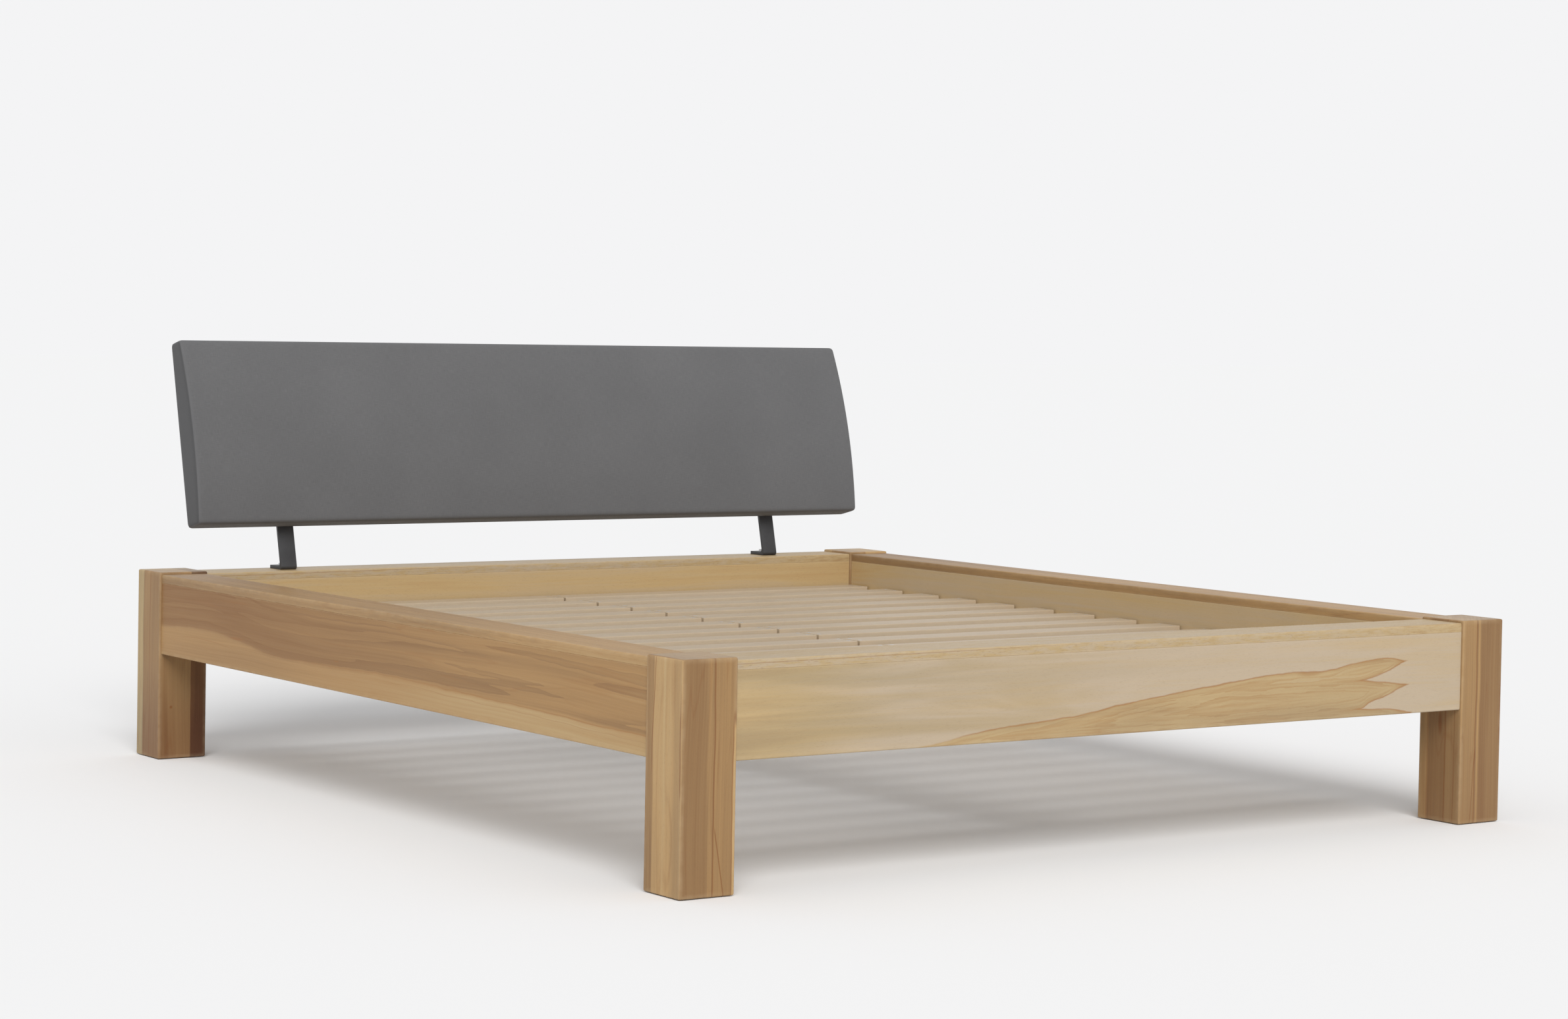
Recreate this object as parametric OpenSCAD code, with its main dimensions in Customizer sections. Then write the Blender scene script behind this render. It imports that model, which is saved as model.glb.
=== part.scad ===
// A low timber double bed frame. Four square legs stand at the corners, and hollow box rails
// run between them. Two slatted bases lie on side ledges and a steel centre beam, and a padded
// headboard leans back on two flat steel brackets.
// X runs across the bed, +Y points to the head end, +Z is up. The origin lies on the floor,
// in the middle of the whole bed with its headboard.

/* [Mattress] */
// Width of the mattress that the frame takes
mattress_w = 1800; // [1400:10:2000]
// Length of the mattress that the frame takes
mattress_l = 2000; // [1900:10:2200]
// Gap between the mattress and each side rail
side_clear = 3; // [1:0.5:10]
// Gap between the mattress and each end rail
end_clear = 6; // [2:0.5:15]

/* [Legs] */
// Side of the square leg
leg_w = 116; // [110:1:140]
// Height of the leg's top above the floor
leg_h = 420; // [320:5:520]
// How far the leg's faces stand proud of the rails
leg_proud = 4; // [2:0.5:8]
// Width of the easing along the long wooden edges
edge_ease = 3; // [1:0.5:5]
// Radius of the felt glide under a leg
glide_r = 24; // [15:1:40]
// Thickness of the felt glide
glide_t = 5; // [4:0.5:8]
// How much of the glide shows below the leg
glide_show = 1.5; // [1:0.5:3]

/* [Rails] */
// Height of a rail, its cap included
rail_h = 178; // [170:1:220]
// How far the rail's top lies below the leg's top
rail_drop = 5; // [2:0.5:15]
// Thickness of the rail's outer board
face_t = 26; // [22:1:28]
// Thickness of the rail's inner board
lining_t = 22; // [20:1:26]
// Thickness of the cap board along the rail's top
cap_t = 18; // [12:1:24]
// Length of the solid block in each end of a rail
block_l = 60; // [40:1:90]
// Length of the spacer block in the middle of a rail
spacer_l = 40; // [20:1:80]

/* [Corner joints] */
// Radius of the corner bolt
bolt_r = 4; // [3:0.5:5]
// How far the corner bolt reaches into the leg
bolt_bite = 42; // [32:1:48]
// Height of the lower corner bolt above the rail's underside
bolt_low = 32; // [25:1:40]
// Distance between the lower and the upper corner bolt
bolt_step = 74; // [64:1:84]
// How much higher the bolts of a side rail lie than those of an end rail
bolt_stagger = 20; // [16:1:26]
// Width of the bolt's hexagon across its flats
bolt_head_w = 13; // [10:0.5:16]
// Height of the bolt's head
bolt_head_h = 5.3; // [4:0.1:7]
// Room round a bolt in its bore
bolt_clear = 0.4; // [0.1:0.1:0.8]
// Radius of the washer under the bolt's head
washer_r = 12; // [9:0.5:14]
// Thickness of the washer
washer_t = 2; // [1:0.5:3]
// Outer radius of the threaded insert in the leg
insert_r = 6.5; // [6:0.25:8]
// Length of the threaded insert
insert_l = 28; // [18:1:30]
// Radius of the wooden dowel
dowel_r = 5; // [3:0.5:6]
// Length of the wooden dowel
dowel_l = 60; // [40:1:70]
// Distance between the two dowels of a joint
dowel_spread = 36; // [26:1:38]

/* [Ledges and centre beam] */
// How far the ledge's underside lies above the rail's
ledge_lift = 3; // [0:0.5:10]
// Width of the ledge
ledge_w = 30; // [25:1:45]
// Height of the ledge
ledge_h = 40; // [30:1:50]
// Gap between the ledge's end and the leg
ledge_gap = 7; // [2:1:30]
// Number of screws in a ledge
ledge_screws_n = 7; // [3:1:12]
// Width of the centre beam
beam_w = 60; // [50:1:80]
// Height of the centre beam
beam_h = 40; // [30:1:45]
// Wall of the centre beam's tube
beam_wall = 3; // [2:0.5:5]
// Gap between the beam's end and the end rail
beam_end_gap = 2; // [1:0.5:6]
// Thickness of the beam shoe's steel
shoe_t = 3; // [2:0.5:5]
// Length of the beam in its shoe
shoe_l = 45; // [30:1:80]
// Gap between the beam and each cheek of its shoe
shoe_gap = 0.5; // [0.2:0.1:0.8]
// How far the shoe's cheeks end below the beam's top
shoe_low = 4; // [2:1:8]
// Width of each ear of the shoe
ear_w = 28; // [22:1:40]
// Distance between the two screws in an ear
ear_screw_step = 16; // [12:1:20]

/* [Wood screws] */
// Radius of the countersunk wood screws
screw_r = 2.5; // [2:0.25:3]
// Radius of their countersunk heads
screw_head_r = 4.8; // [4:0.1:6]
// How far a ledge screw reaches into the rail's inner board
ledge_screw_bite = 17; // [10:1:19]
// How far a shoe screw reaches into the rail's inner board
shoe_screw_bite = 16; // [10:1:19]
// How far a slat screw reaches into the runner
slat_screw_bite = 25; // [15:1:34]
// Room round a screw in its hole
screw_clear = 0.1; // [0.05:0.05:0.3]

/* [Slatted bases] */
// Gap between the two slatted bases
base_gap = 6; // [4:0.5:20]
// Gap between a slatted base and the side rail
base_side_gap = 5; // [2:0.5:10]
// Gap between a slatted base and each end rail
base_end_gap = 11; // [6:1:20]
// Width of a runner under the slats
runner_w = 24; // [22:1:25]
// Height of a runner
runner_h = 38; // [36:1:50]
// Number of slats in a base
slat_n = 14; // [10:1:20]
// Width of a slat
slat_w = 70; // [50:1:90]
// Thickness of a slat
slat_t = 20; // [14:1:25]
// Width of the easing along a slat's edges
slat_ease = 2; // [1:0.5:4]
// Distance between the two screws at a slat's end
slat_screw_step = 36; // [20:1:40]

/* [Headboard] */
// Width of the headboard
head_w = 1840; // [1500:10:2200]
// Height of the headboard, measured along its slope
head_h = 430; // [350:5:600]
// Angle by which the headboard leans back
lean = 13.5; // [5:0.5:20]
// Distance along the slope from the rail's top to the headboard's lower edge
head_gap = 101; // [40:1:160]
// Thickness of the pad at its top
pad_top_t = 41; // [32:1:60]
// Thickness of the pad at its bottom
pad_bottom_t = 56; // [40:1:70]
// How much further the pad's front bulges in the middle
pad_crown = 20; // [5:1:30]
// Thickness of the cover fabric
cover_t = 1.5; // [1:0.25:3]
// Width of the cover's edge turned onto the back
hem_w = 35; // [20:1:60]
// Thickness of the backing board
board_t = 15; // [12:1:18]

/* [Headboard brackets] */
// Distance from the middle of each bracket to the headboard's end
bracket_in = 245; // [150:5:400]
// Width of the flat steel bar
bracket_w = 40; // [30:1:60]
// Thickness of the bar
bracket_t = 8; // [5:0.5:10]
// Distance from the rail's inner face to the bar's front at the rail's top
bracket_set = 32; // [25:1:33]
// Distance from the rail's outer board to the outer screw in the bar's foot
foot_screw_edge = 10; // [7:1:12]
// Distance between the foot's two screws
foot_screw_step = 18; // [16:1:19]
// How far the foot reaches past its outer screw
foot_tail = 20; // [12:1:30]
// How far the bar reaches up the headboard's back
bracket_up = 220; // [200:5:300]
// Number of bolts from a bracket into the headboard
panel_bolts_n = 3; // [2:1:3]
// Height of the lowest panel bolt above the headboard's lower edge
panel_bolt_low = 40; // [30:1:50]
// Distance between the panel bolts
panel_bolt_step = 70; // [50:1:70]
// Radius of the hexagon screws in the foot
lag_r = 4; // [3:0.5:5]
// How far those screws reach below the rail's cap
lag_bite = 50; // [30:1:60]
// Length of the block under each foot, along the rail
foot_block_l = 80; // [60:1:120]
// Height of the block under each foot
foot_block_h = 90; // [70:1:120]
// Radius of the panel bolts
panel_bolt_r = 3; // [2.5:0.25:4]
// Radius of the panel bolts' heads
panel_head_r = 5.5; // [5:0.25:7]
// Height of the panel bolts' heads
panel_head_h = 3.5; // [3:0.5:5]
// Radius of the tee nut's flange
tee_r = 9.5; // [7:0.5:12]
// Thickness of the tee nut's flange
tee_t = 1.5; // [1:0.25:2.5]
// Wall of the tee nut's barrel
tee_wall = 1.2; // [0.8:0.2:2]
// Length of the tee nut's barrel
tee_l = 11; // [6:1:11]

/* [Hidden] */
$fn = 40;

TIMBER = [0.76, 0.62, 0.44];
PALE_TIMBER = [0.86, 0.76, 0.58];
STEEL = [0.2, 0.2, 0.21];
ZINC = [0.7, 0.7, 0.72];
FABRIC = [0.43, 0.43, 0.43];

opening_w = mattress_w + 2 * side_clear;
opening_l = mattress_l + 2 * end_clear;
rail_t = leg_w - 2 * leg_proud;
frame_w = opening_w + 2 * (rail_t + leg_proud);
frame_l = opening_l + 2 * (rail_t + leg_proud);
end_rail_l = frame_w - 2 * leg_w;
side_rail_l = frame_l - 2 * leg_w;
rail_top = leg_h - rail_drop;
rail_z = rail_top - rail_h;
board_h = rail_h - cap_t;
block_w = rail_t - face_t - lining_t;
block_y = face_t + block_w / 2;
seat_z = rail_z + ledge_lift + ledge_h;
ledge_l = side_rail_l - 2 * ledge_gap;
beam_z = seat_z - beam_h;
base_w = (opening_w - base_gap) / 2 - base_side_gap;
base_l = opening_l - 2 * base_end_gap;
slat_z = seat_z + runner_h;
slat_pitch = (base_l - slat_w) / (slat_n - 1);
cut = 1;

// The headboard's back plane meets the rail's top here, measured from the frame's own middle.
head_y = frame_l / 2 - leg_proud - rail_t + bracket_set;
head_top = head_gap + head_h;
bracket_x = head_w / 2 - bracket_in;
overhang = max(0, head_y + head_top * sin(lean) - frame_l / 2);
// The outer screw in a bracket's foot, and the foot's end, measured from the bar's front.
foot_screw_y = rail_t - face_t - bracket_set - foot_screw_edge;
foot_l = foot_screw_y + foot_tail;
// The frame's own middle lies this far from the origin, because the headboard overhangs it.
frame_y = -overhang / 2;

// ---------------------------------------------------------------- shared shapes

module placed() translate([0, frame_y, 0]) children();

// A rectangle with eased corners, from the origin into +X and +Y.
module eased_rect(w, h, e) {
    polygon([[e, 0], [w - e, 0], [w, e], [w, h - e], [w - e, h], [e, h], [0, h - e], [0, e]]);
}

// Turns an outline drawn in Y and Z into a bar along X, centred on X.
module bar(length) translate([-length / 2, 0, 0]) rotate([90, 0, 90]) linear_extrude(length) children();

module box_at(low, high) translate(low) cube(high - low);

// A countersunk wood screw with its head flush at the origin, pointing along -Z.
module wood_screw(bite, room = 0) {
    cone = screw_head_r - screw_r;
    translate([0, 0, -bite - room]) cylinder(r = screw_r + room, h = bite + room - cone);
    translate([0, 0, -cone]) cylinder(r1 = screw_r + room, r2 = screw_head_r + room, h = cone);
    if (room > 0) cylinder(r = screw_head_r + room, h = cut);
}

// Stands on one side of the bed: the outer face of that side's rail is Y = 0, the inside is +Y,
// X runs along the rail and Z = 0 is its underside. turn is 0 at the foot end.
module on_side(turn) {
    reach = (turn % 180 == 0 ? frame_l : frame_w) / 2 - leg_proud;
    placed() rotate([0, 0, turn]) translate([0, -reach, rail_z]) children();
}

FOOT = 0;
RIGHT = 90;
HEAD = 180;
LEFT = 270;
SIDES = [FOOT, RIGHT, HEAD, LEFT];

function rail_l(turn) = turn % 180 == 0 ? end_rail_l : side_rail_l;
function bolt_rise(turn) = turn % 180 == 0 ? 0 : bolt_stagger;

// Puts its children at every corner bolt of a side, with +Z pointing into the leg.
module at_bolts(turn) on_side(turn)
    for (s = [-1, 1], h = [0, 1])
        translate([s * rail_l(turn) / 2, block_y, bolt_low + h * bolt_step + bolt_rise(turn)])
            rotate([0, s * 90, 0]) children();

// The same for the two dowels of each joint, which lie between the bolts.
module at_dowels(turn) on_side(turn)
    for (s = [-1, 1], d = [-1, 1])
        translate([s * rail_l(turn) / 2, block_y + d * dowel_spread / 2,
                   bolt_low + bolt_step / 2 + bolt_rise(turn) - bolt_stagger / 2])
            rotate([0, s * 90, 0]) children();

// ---------------------------------------------------------------- legs

module leg_bores(turn) {
    at_bolts(turn) {
        translate([0, 0, -cut]) cylinder(r = insert_r, h = insert_l + cut);
        cylinder(r = bolt_r + bolt_clear, h = bolt_bite + cut);
    }
    at_dowels(turn) translate([0, 0, -cut]) cylinder(r = dowel_r, h = dowel_l / 2 + cut);
}

module at_leg(x, y) placed() translate([x * (frame_w - leg_w) / 2, y * (frame_l - leg_w) / 2, 0]) children();

module leg(x, y, end_side, long_side) color(TIMBER) difference() {
    at_leg(x, y) translate([-leg_w / 2, -leg_w / 2, glide_show]) intersection() {
        linear_extrude(leg_h - glide_show) eased_rect(leg_w, leg_w, edge_ease);
        rotate([90, 0, 90]) linear_extrude(leg_w) eased_rect(leg_w, leg_h - glide_show, edge_ease);
        translate([0, leg_w, 0]) rotate([90, 0, 0])
            linear_extrude(leg_w) eased_rect(leg_w, leg_h - glide_show, edge_ease);
    }
    leg_bores(end_side);
    leg_bores(long_side);
    at_leg(x, y) cylinder(r = glide_r, h = glide_t);
}

module leg_foot_left() leg(-1, -1, FOOT, LEFT);
module leg_foot_right() leg(1, -1, FOOT, RIGHT);
module leg_head_left() leg(-1, 1, HEAD, LEFT);
module leg_head_right() leg(1, 1, HEAD, RIGHT);

module felt_glides() color("dimgray")
    for (x = [-1, 1], y = [-1, 1]) at_leg(x, y) cylinder(r = glide_r, h = glide_t);

// ---------------------------------------------------------------- rails

// Puts its children on the foot of each headboard bracket: Z = 0 is the rail's top, +Y points
// to the headboard's back, and Y = 0 is the bar's front face.
module at_brackets() placed() for (s = [-1, 1]) translate([s * bracket_x, head_y, rail_top]) children();

module at_foot_screws() at_brackets()
    for (i = [0, 1]) translate([0, foot_screw_y - i * foot_screw_step, 0]) children();

module ledge_screw_places(turn) on_side(turn)
    for (i = [0 : ledge_screws_n - 1])
        translate([(i - (ledge_screws_n - 1) / 2) * ledge_l / ledge_screws_n,
                   rail_t + ledge_w, ledge_lift + ledge_h / 2])
            rotate([-90, 0, 0]) children();

module shoe_screw_places(turn) on_side(turn)
    for (s = [-1, 1], h = [-1, 1])
        translate([s * (beam_w / 2 + shoe_gap + shoe_t + (ear_w - shoe_t) / 2), rail_t + shoe_t,
                   (beam_z - shoe_t + seat_z - shoe_low) / 2 - rail_z + h * ear_screw_step / 2])
            rotate([-90, 0, 0]) children();

module rail_face(turn) color(TIMBER) on_side(turn) bar(rail_l(turn))
    polygon([[edge_ease, 0], [face_t, 0], [face_t, board_h], [0, board_h], [0, edge_ease]]);

module rail_cap(turn) color(TIMBER) difference() {
    on_side(turn) bar(rail_l(turn)) polygon([
        [0, board_h], [rail_t, board_h], [rail_t, rail_h - edge_ease],
        [rail_t - edge_ease, rail_h], [edge_ease, rail_h], [0, rail_h - edge_ease]
    ]);
    if (turn == HEAD) at_foot_screws()
        translate([0, 0, -cap_t - cut]) cylinder(r = lag_r + screw_clear, h = cap_t + 2 * cut);
}

module rail_lining(turn) color(TIMBER) difference() {
    on_side(turn) bar(rail_l(turn)) polygon([
        [rail_t - lining_t, 0], [rail_t - edge_ease, 0], [rail_t, edge_ease],
        [rail_t, board_h], [rail_t - lining_t, board_h]
    ]);
    if (turn == LEFT || turn == RIGHT) ledge_screw_places(turn)
        wood_screw(ledge_w + ledge_screw_bite, screw_clear);
    if (turn == FOOT || turn == HEAD) shoe_screw_places(turn)
        wood_screw(shoe_t + shoe_screw_bite, screw_clear);
}

module block(x, length, height) translate([x - length / 2, face_t, board_h - height])
    cube([length, block_w, height]);

module rail_blocks(turn) color(TIMBER) difference() {
    on_side(turn) {
        for (s = [-1, 1]) block(s * (rail_l(turn) - block_l) / 2, block_l, board_h);
        block(0, spacer_l, board_h);
        if (turn == HEAD) for (s = [-1, 1]) block(s * bracket_x, foot_block_l, foot_block_h);
    }
    at_bolts(turn) translate([0, 0, -block_l - cut])
        cylinder(r = bolt_r + bolt_clear, h = block_l + 2 * cut);
    at_dowels(turn) translate([0, 0, -dowel_l / 2]) cylinder(r = dowel_r, h = dowel_l / 2 + cut);
    if (turn == HEAD) at_foot_screws()
        translate([0, 0, -cap_t - lag_bite]) cylinder(r = lag_r + screw_clear, h = cap_t + lag_bite);
}

module foot_rail_face() rail_face(FOOT);
module foot_rail_cap() rail_cap(FOOT);
module foot_rail_lining() rail_lining(FOOT);
module foot_rail_blocks() rail_blocks(FOOT);
module head_rail_face() rail_face(HEAD);
module head_rail_cap() rail_cap(HEAD);
module head_rail_lining() rail_lining(HEAD);
module head_rail_blocks() rail_blocks(HEAD);
module left_rail_face() rail_face(LEFT);
module left_rail_cap() rail_cap(LEFT);
module left_rail_lining() rail_lining(LEFT);
module left_rail_blocks() rail_blocks(LEFT);
module right_rail_face() rail_face(RIGHT);
module right_rail_cap() rail_cap(RIGHT);
module right_rail_lining() rail_lining(RIGHT);
module right_rail_blocks() rail_blocks(RIGHT);

// ---------------------------------------------------------------- corner joints

module corner_bolts() color(ZINC) for (turn = SIDES) at_bolts(turn) {
    translate([0, 0, -block_l - washer_t]) cylinder(r = bolt_r, h = block_l + washer_t + bolt_bite);
    translate([0, 0, -block_l - washer_t - bolt_head_h])
        cylinder(r = bolt_head_w / 2 / cos(30), h = bolt_head_h, $fn = 6);
}

module corner_washers() color(ZINC) for (turn = SIDES) at_bolts(turn)
    translate([0, 0, -block_l - washer_t]) difference() {
        cylinder(r = washer_r, h = washer_t);
        translate([0, 0, -cut]) cylinder(r = bolt_r + bolt_clear, h = washer_t + 2 * cut);
    }

module leg_inserts() color(ZINC) for (turn = SIDES) at_bolts(turn) difference() {
    cylinder(r = insert_r, h = insert_l);
    translate([0, 0, -cut]) cylinder(r = bolt_r + screw_clear, h = insert_l + 2 * cut);
}

module corner_dowels() color(PALE_TIMBER) for (turn = SIDES) at_dowels(turn)
    translate([0, 0, -dowel_l / 2]) cylinder(r = dowel_r, h = dowel_l);

// ---------------------------------------------------------------- ledges and centre beam

module ledge(turn) color(PALE_TIMBER) difference() {
    on_side(turn) bar(ledge_l) translate([rail_t, ledge_lift]) polygon([
        [0, 0], [ledge_w - edge_ease, 0], [ledge_w, edge_ease], [ledge_w, ledge_h - edge_ease],
        [ledge_w - edge_ease, ledge_h], [0, ledge_h]
    ]);
    ledge_screw_places(turn) wood_screw(ledge_w + ledge_screw_bite, screw_clear);
}

module left_ledge() ledge(LEFT);
module right_ledge() ledge(RIGHT);

module ledge_screws() color(ZINC) for (turn = [LEFT, RIGHT])
    ledge_screw_places(turn) wood_screw(ledge_w + ledge_screw_bite);

module centre_beam() color(STEEL) placed() difference() {
    length = opening_l - 2 * beam_end_gap;
    translate([-beam_w / 2, -length / 2, beam_z]) cube([beam_w, length, beam_h]);
    translate([beam_wall - beam_w / 2, -length / 2 - cut, beam_z + beam_wall])
        cube([beam_w - 2 * beam_wall, length + 2 * cut, beam_h - 2 * beam_wall]);
}

module beam_shoe(turn) color(STEEL) difference() {
    inner = beam_w / 2 + shoe_gap;
    low = beam_z - rail_z - shoe_t;
    high = seat_z - rail_z - shoe_low;
    on_side(turn) translate([0, rail_t, 0]) {
        box_at([-inner - shoe_t, 0, low], [inner + shoe_t, shoe_l, low + shoe_t]);
        for (s = [0, 1]) mirror([s, 0, 0]) {
            box_at([inner, 0, low], [inner + shoe_t, shoe_l, high]);
            box_at([inner, 0, low], [inner + ear_w, shoe_t, high]);
        }
    }
    shoe_screw_places(turn) wood_screw(shoe_t + shoe_screw_bite, screw_clear);
}

module beam_shoe_foot() beam_shoe(FOOT);
module beam_shoe_head() beam_shoe(HEAD);

module shoe_screws() color(ZINC) for (turn = [FOOT, HEAD])
    shoe_screw_places(turn) wood_screw(shoe_t + shoe_screw_bite);

// ---------------------------------------------------------------- headboard

// The leaning panel's own frame: Z runs up its slope from the rail's top, and its back is Y = 0.
module at_headboard() placed() translate([0, head_y, rail_top]) rotate([-lean, 0, 0]) children();

// How thick the pad is at a share u of its height.
function pad_t(u) = pad_bottom_t + (pad_top_t - pad_bottom_t) * u + 4 * pad_crown * u * (1 - u);

PAD_STEPS = 16;

// The pad's outline from its back at depth back, drawn in by skin on its other edges.
module pad_section(back, skin) {
    rise = (head_h - 2 * skin) / PAD_STEPS;
    polygon(concat(
        [[-back, head_gap + skin]],
        [for (i = [0 : PAD_STEPS])
            [skin - pad_t((skin + i * rise) / head_h), head_gap + skin + i * rise]],
        [[-back, head_top - skin]]
    ));
}

module at_panel_bolts() at_headboard()
    for (s = [-1, 1], i = [0 : panel_bolts_n - 1])
        translate([s * bracket_x, 0, head_gap + panel_bolt_low + i * panel_bolt_step])
            rotate([90, 0, 0]) children();

module panel_bolt_bore(length) at_panel_bolts() translate([0, 0, -bracket_t - cut])
    cylinder(r = panel_bolt_r + bolt_clear, h = bracket_t + length + cut);

module headboard_board() color(PALE_TIMBER) difference() {
    at_headboard() translate([cover_t - head_w / 2, -cover_t - board_t, head_gap + cover_t])
        cube([head_w - 2 * cover_t, board_t, head_h - 2 * cover_t]);
    at_panel_bolts() cylinder(r = panel_bolt_r + screw_clear + tee_wall, h = cover_t + board_t + cut);
}

module headboard_foam() color("khaki") difference() {
    at_headboard() bar(head_w - 2 * cover_t) pad_section(cover_t + board_t, cover_t);
    at_panel_bolts() cylinder(r = tee_r + bolt_clear, h = cover_t + board_t + tee_t + bolt_clear);
}

module headboard_cover() color(FABRIC) difference() {
    at_headboard() bar(head_w) pad_section(0, 0);
    at_headboard() bar(head_w - 2 * cover_t) pad_section(cover_t, cover_t);
    at_headboard() translate([0, cut - cover_t / 2, head_gap + head_h / 2])
        cube([head_w - 2 * hem_w, cover_t + 2 * cut, head_h - 2 * hem_w], center = true);
}

module headboard_back_cloth() color("#202020") difference() {
    at_headboard() translate([hem_w - head_w / 2, -cover_t, head_gap + hem_w])
        cube([head_w - 2 * hem_w, cover_t, head_h - 2 * hem_w]);
    panel_bolt_bore(cover_t + cut);
}

// One flat bar, bent where it leaves the rail: a foot along +Y and a leaning upright.
module bracket(s) color(STEEL) difference() {
    rise = bracket_t * (1 + sin(lean)) / cos(lean);
    top = head_gap + bracket_up;
    placed() translate([s * bracket_x, head_y, rail_top]) bar(bracket_w) polygon([
        [0, 0], [foot_l, 0], [foot_l, bracket_t],
        [bracket_t * cos(lean) + rise * sin(lean), bracket_t],
        [bracket_t * cos(lean) + top * sin(lean), top * cos(lean) - bracket_t * sin(lean)],
        [top * sin(lean), top * cos(lean)]
    ]);
    panel_bolt_bore(cut);
    at_foot_screws() translate([0, 0, -cut])
        cylinder(r = lag_r + bolt_clear, h = bracket_t + 2 * cut);
}

module bracket_left() bracket(-1);
module bracket_right() bracket(1);

module bracket_foot_screws() color(ZINC) at_foot_screws() {
    translate([0, 0, -cap_t - lag_bite]) cylinder(r = lag_r, h = cap_t + lag_bite + bracket_t);
    translate([0, 0, bracket_t]) cylinder(r = bolt_head_w / 2 / cos(30), h = bolt_head_h, $fn = 6);
}

module panel_bolts() color(ZINC) at_panel_bolts() {
    translate([0, 0, -bracket_t]) cylinder(r = panel_bolt_r, h = bracket_t + cover_t + board_t);
    translate([0, 0, -bracket_t - panel_head_h]) cylinder(r = panel_head_r, h = panel_head_h);
}

module panel_tee_nuts() color(ZINC) at_panel_bolts() translate([0, 0, cover_t + board_t]) difference() {
    union() {
        cylinder(r = tee_r, h = tee_t);
        translate([0, 0, -tee_l]) cylinder(r = panel_bolt_r + screw_clear + tee_wall, h = tee_l);
    }
    translate([0, 0, -tee_l - cut]) cylinder(r = panel_bolt_r + screw_clear, h = tee_l + tee_t + 2 * cut);
}

// ---------------------------------------------------------------- slatted bases

// Each base is drawn on the right and mirrored for the left.
module at_base(s) placed() mirror([s < 0 ? 1 : 0, 0, 0]) translate([base_gap / 2, 0, 0]) children();

module at_slat_screws(s, ends = [0, 1]) at_base(s)
    for (i = [0 : slat_n - 1], e = ends, d = [-1, 1])
        translate([e == 0 ? runner_w / 2 : base_w - runner_w / 2,
                   (slat_w - base_l) / 2 + i * slat_pitch + d * slat_screw_step / 2,
                   slat_z + slat_t]) children();

module runner(s, outer) color(PALE_TIMBER) difference() {
    at_base(s) translate([outer * (base_w - runner_w), -base_l / 2, seat_z])
        cube([runner_w, base_l, runner_h]);
    at_slat_screws(s, [outer]) wood_screw(slat_t + slat_screw_bite, screw_clear);
}

module slats(s) color(PALE_TIMBER) difference() {
    at_base(s) for (i = [0 : slat_n - 1])
        translate([base_w / 2, i * slat_pitch - base_l / 2, slat_z])
            bar(base_w) eased_rect(slat_w, slat_t, slat_ease);
    at_slat_screws(s) wood_screw(slat_t + slat_screw_bite, screw_clear);
}

module base_screws(s) color(ZINC) at_slat_screws(s) wood_screw(slat_t + slat_screw_bite);

module left_base_outer_runner() runner(-1, 1);
module left_base_inner_runner() runner(-1, 0);
module left_base_slats() slats(-1);
module left_base_screws() base_screws(-1);
module right_base_outer_runner() runner(1, 1);
module right_base_inner_runner() runner(1, 0);
module right_base_slats() slats(1);
module right_base_screws() base_screws(1);

// ---------------------------------------------------------------- the parts

leg_foot_left();
leg_foot_right();
leg_head_left();
leg_head_right();
felt_glides();
foot_rail_face();
foot_rail_cap();
foot_rail_lining();
foot_rail_blocks();
head_rail_face();
head_rail_cap();
head_rail_lining();
head_rail_blocks();
left_rail_face();
left_rail_cap();
left_rail_lining();
left_rail_blocks();
right_rail_face();
right_rail_cap();
right_rail_lining();
right_rail_blocks();
corner_bolts();
corner_washers();
leg_inserts();
corner_dowels();
left_ledge();
right_ledge();
ledge_screws();
centre_beam();
beam_shoe_foot();
beam_shoe_head();
shoe_screws();
headboard_board();
headboard_foam();
headboard_cover();
headboard_back_cloth();
bracket_left();
bracket_right();
bracket_foot_screws();
panel_bolts();
panel_tee_nuts();
left_base_outer_runner();
left_base_inner_runner();
left_base_slats();
left_base_screws();
right_base_outer_runner();
right_base_inner_runner();
right_base_slats();
right_base_screws();
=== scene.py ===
"""Low timber double bed frame: square legs, deep box rails, two slatted bases, a leaning padded headboard."""
import math
import random

import bmesh
import bpy
from mathutils import Matrix, Vector


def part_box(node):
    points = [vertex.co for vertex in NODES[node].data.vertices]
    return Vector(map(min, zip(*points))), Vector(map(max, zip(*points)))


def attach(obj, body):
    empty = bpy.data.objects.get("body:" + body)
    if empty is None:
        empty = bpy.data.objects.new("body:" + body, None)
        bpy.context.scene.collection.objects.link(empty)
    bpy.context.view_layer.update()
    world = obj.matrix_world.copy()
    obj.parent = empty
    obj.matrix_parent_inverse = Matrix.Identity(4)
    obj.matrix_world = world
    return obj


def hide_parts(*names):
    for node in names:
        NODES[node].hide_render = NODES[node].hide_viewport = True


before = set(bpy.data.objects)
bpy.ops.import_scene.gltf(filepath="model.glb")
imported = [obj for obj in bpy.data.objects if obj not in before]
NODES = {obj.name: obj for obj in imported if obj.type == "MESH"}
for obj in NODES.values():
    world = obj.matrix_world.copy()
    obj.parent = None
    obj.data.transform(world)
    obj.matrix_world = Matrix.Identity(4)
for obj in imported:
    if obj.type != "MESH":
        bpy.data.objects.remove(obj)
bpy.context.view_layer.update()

# ---------------------------------------------------------------- sizes, in metres

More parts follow.
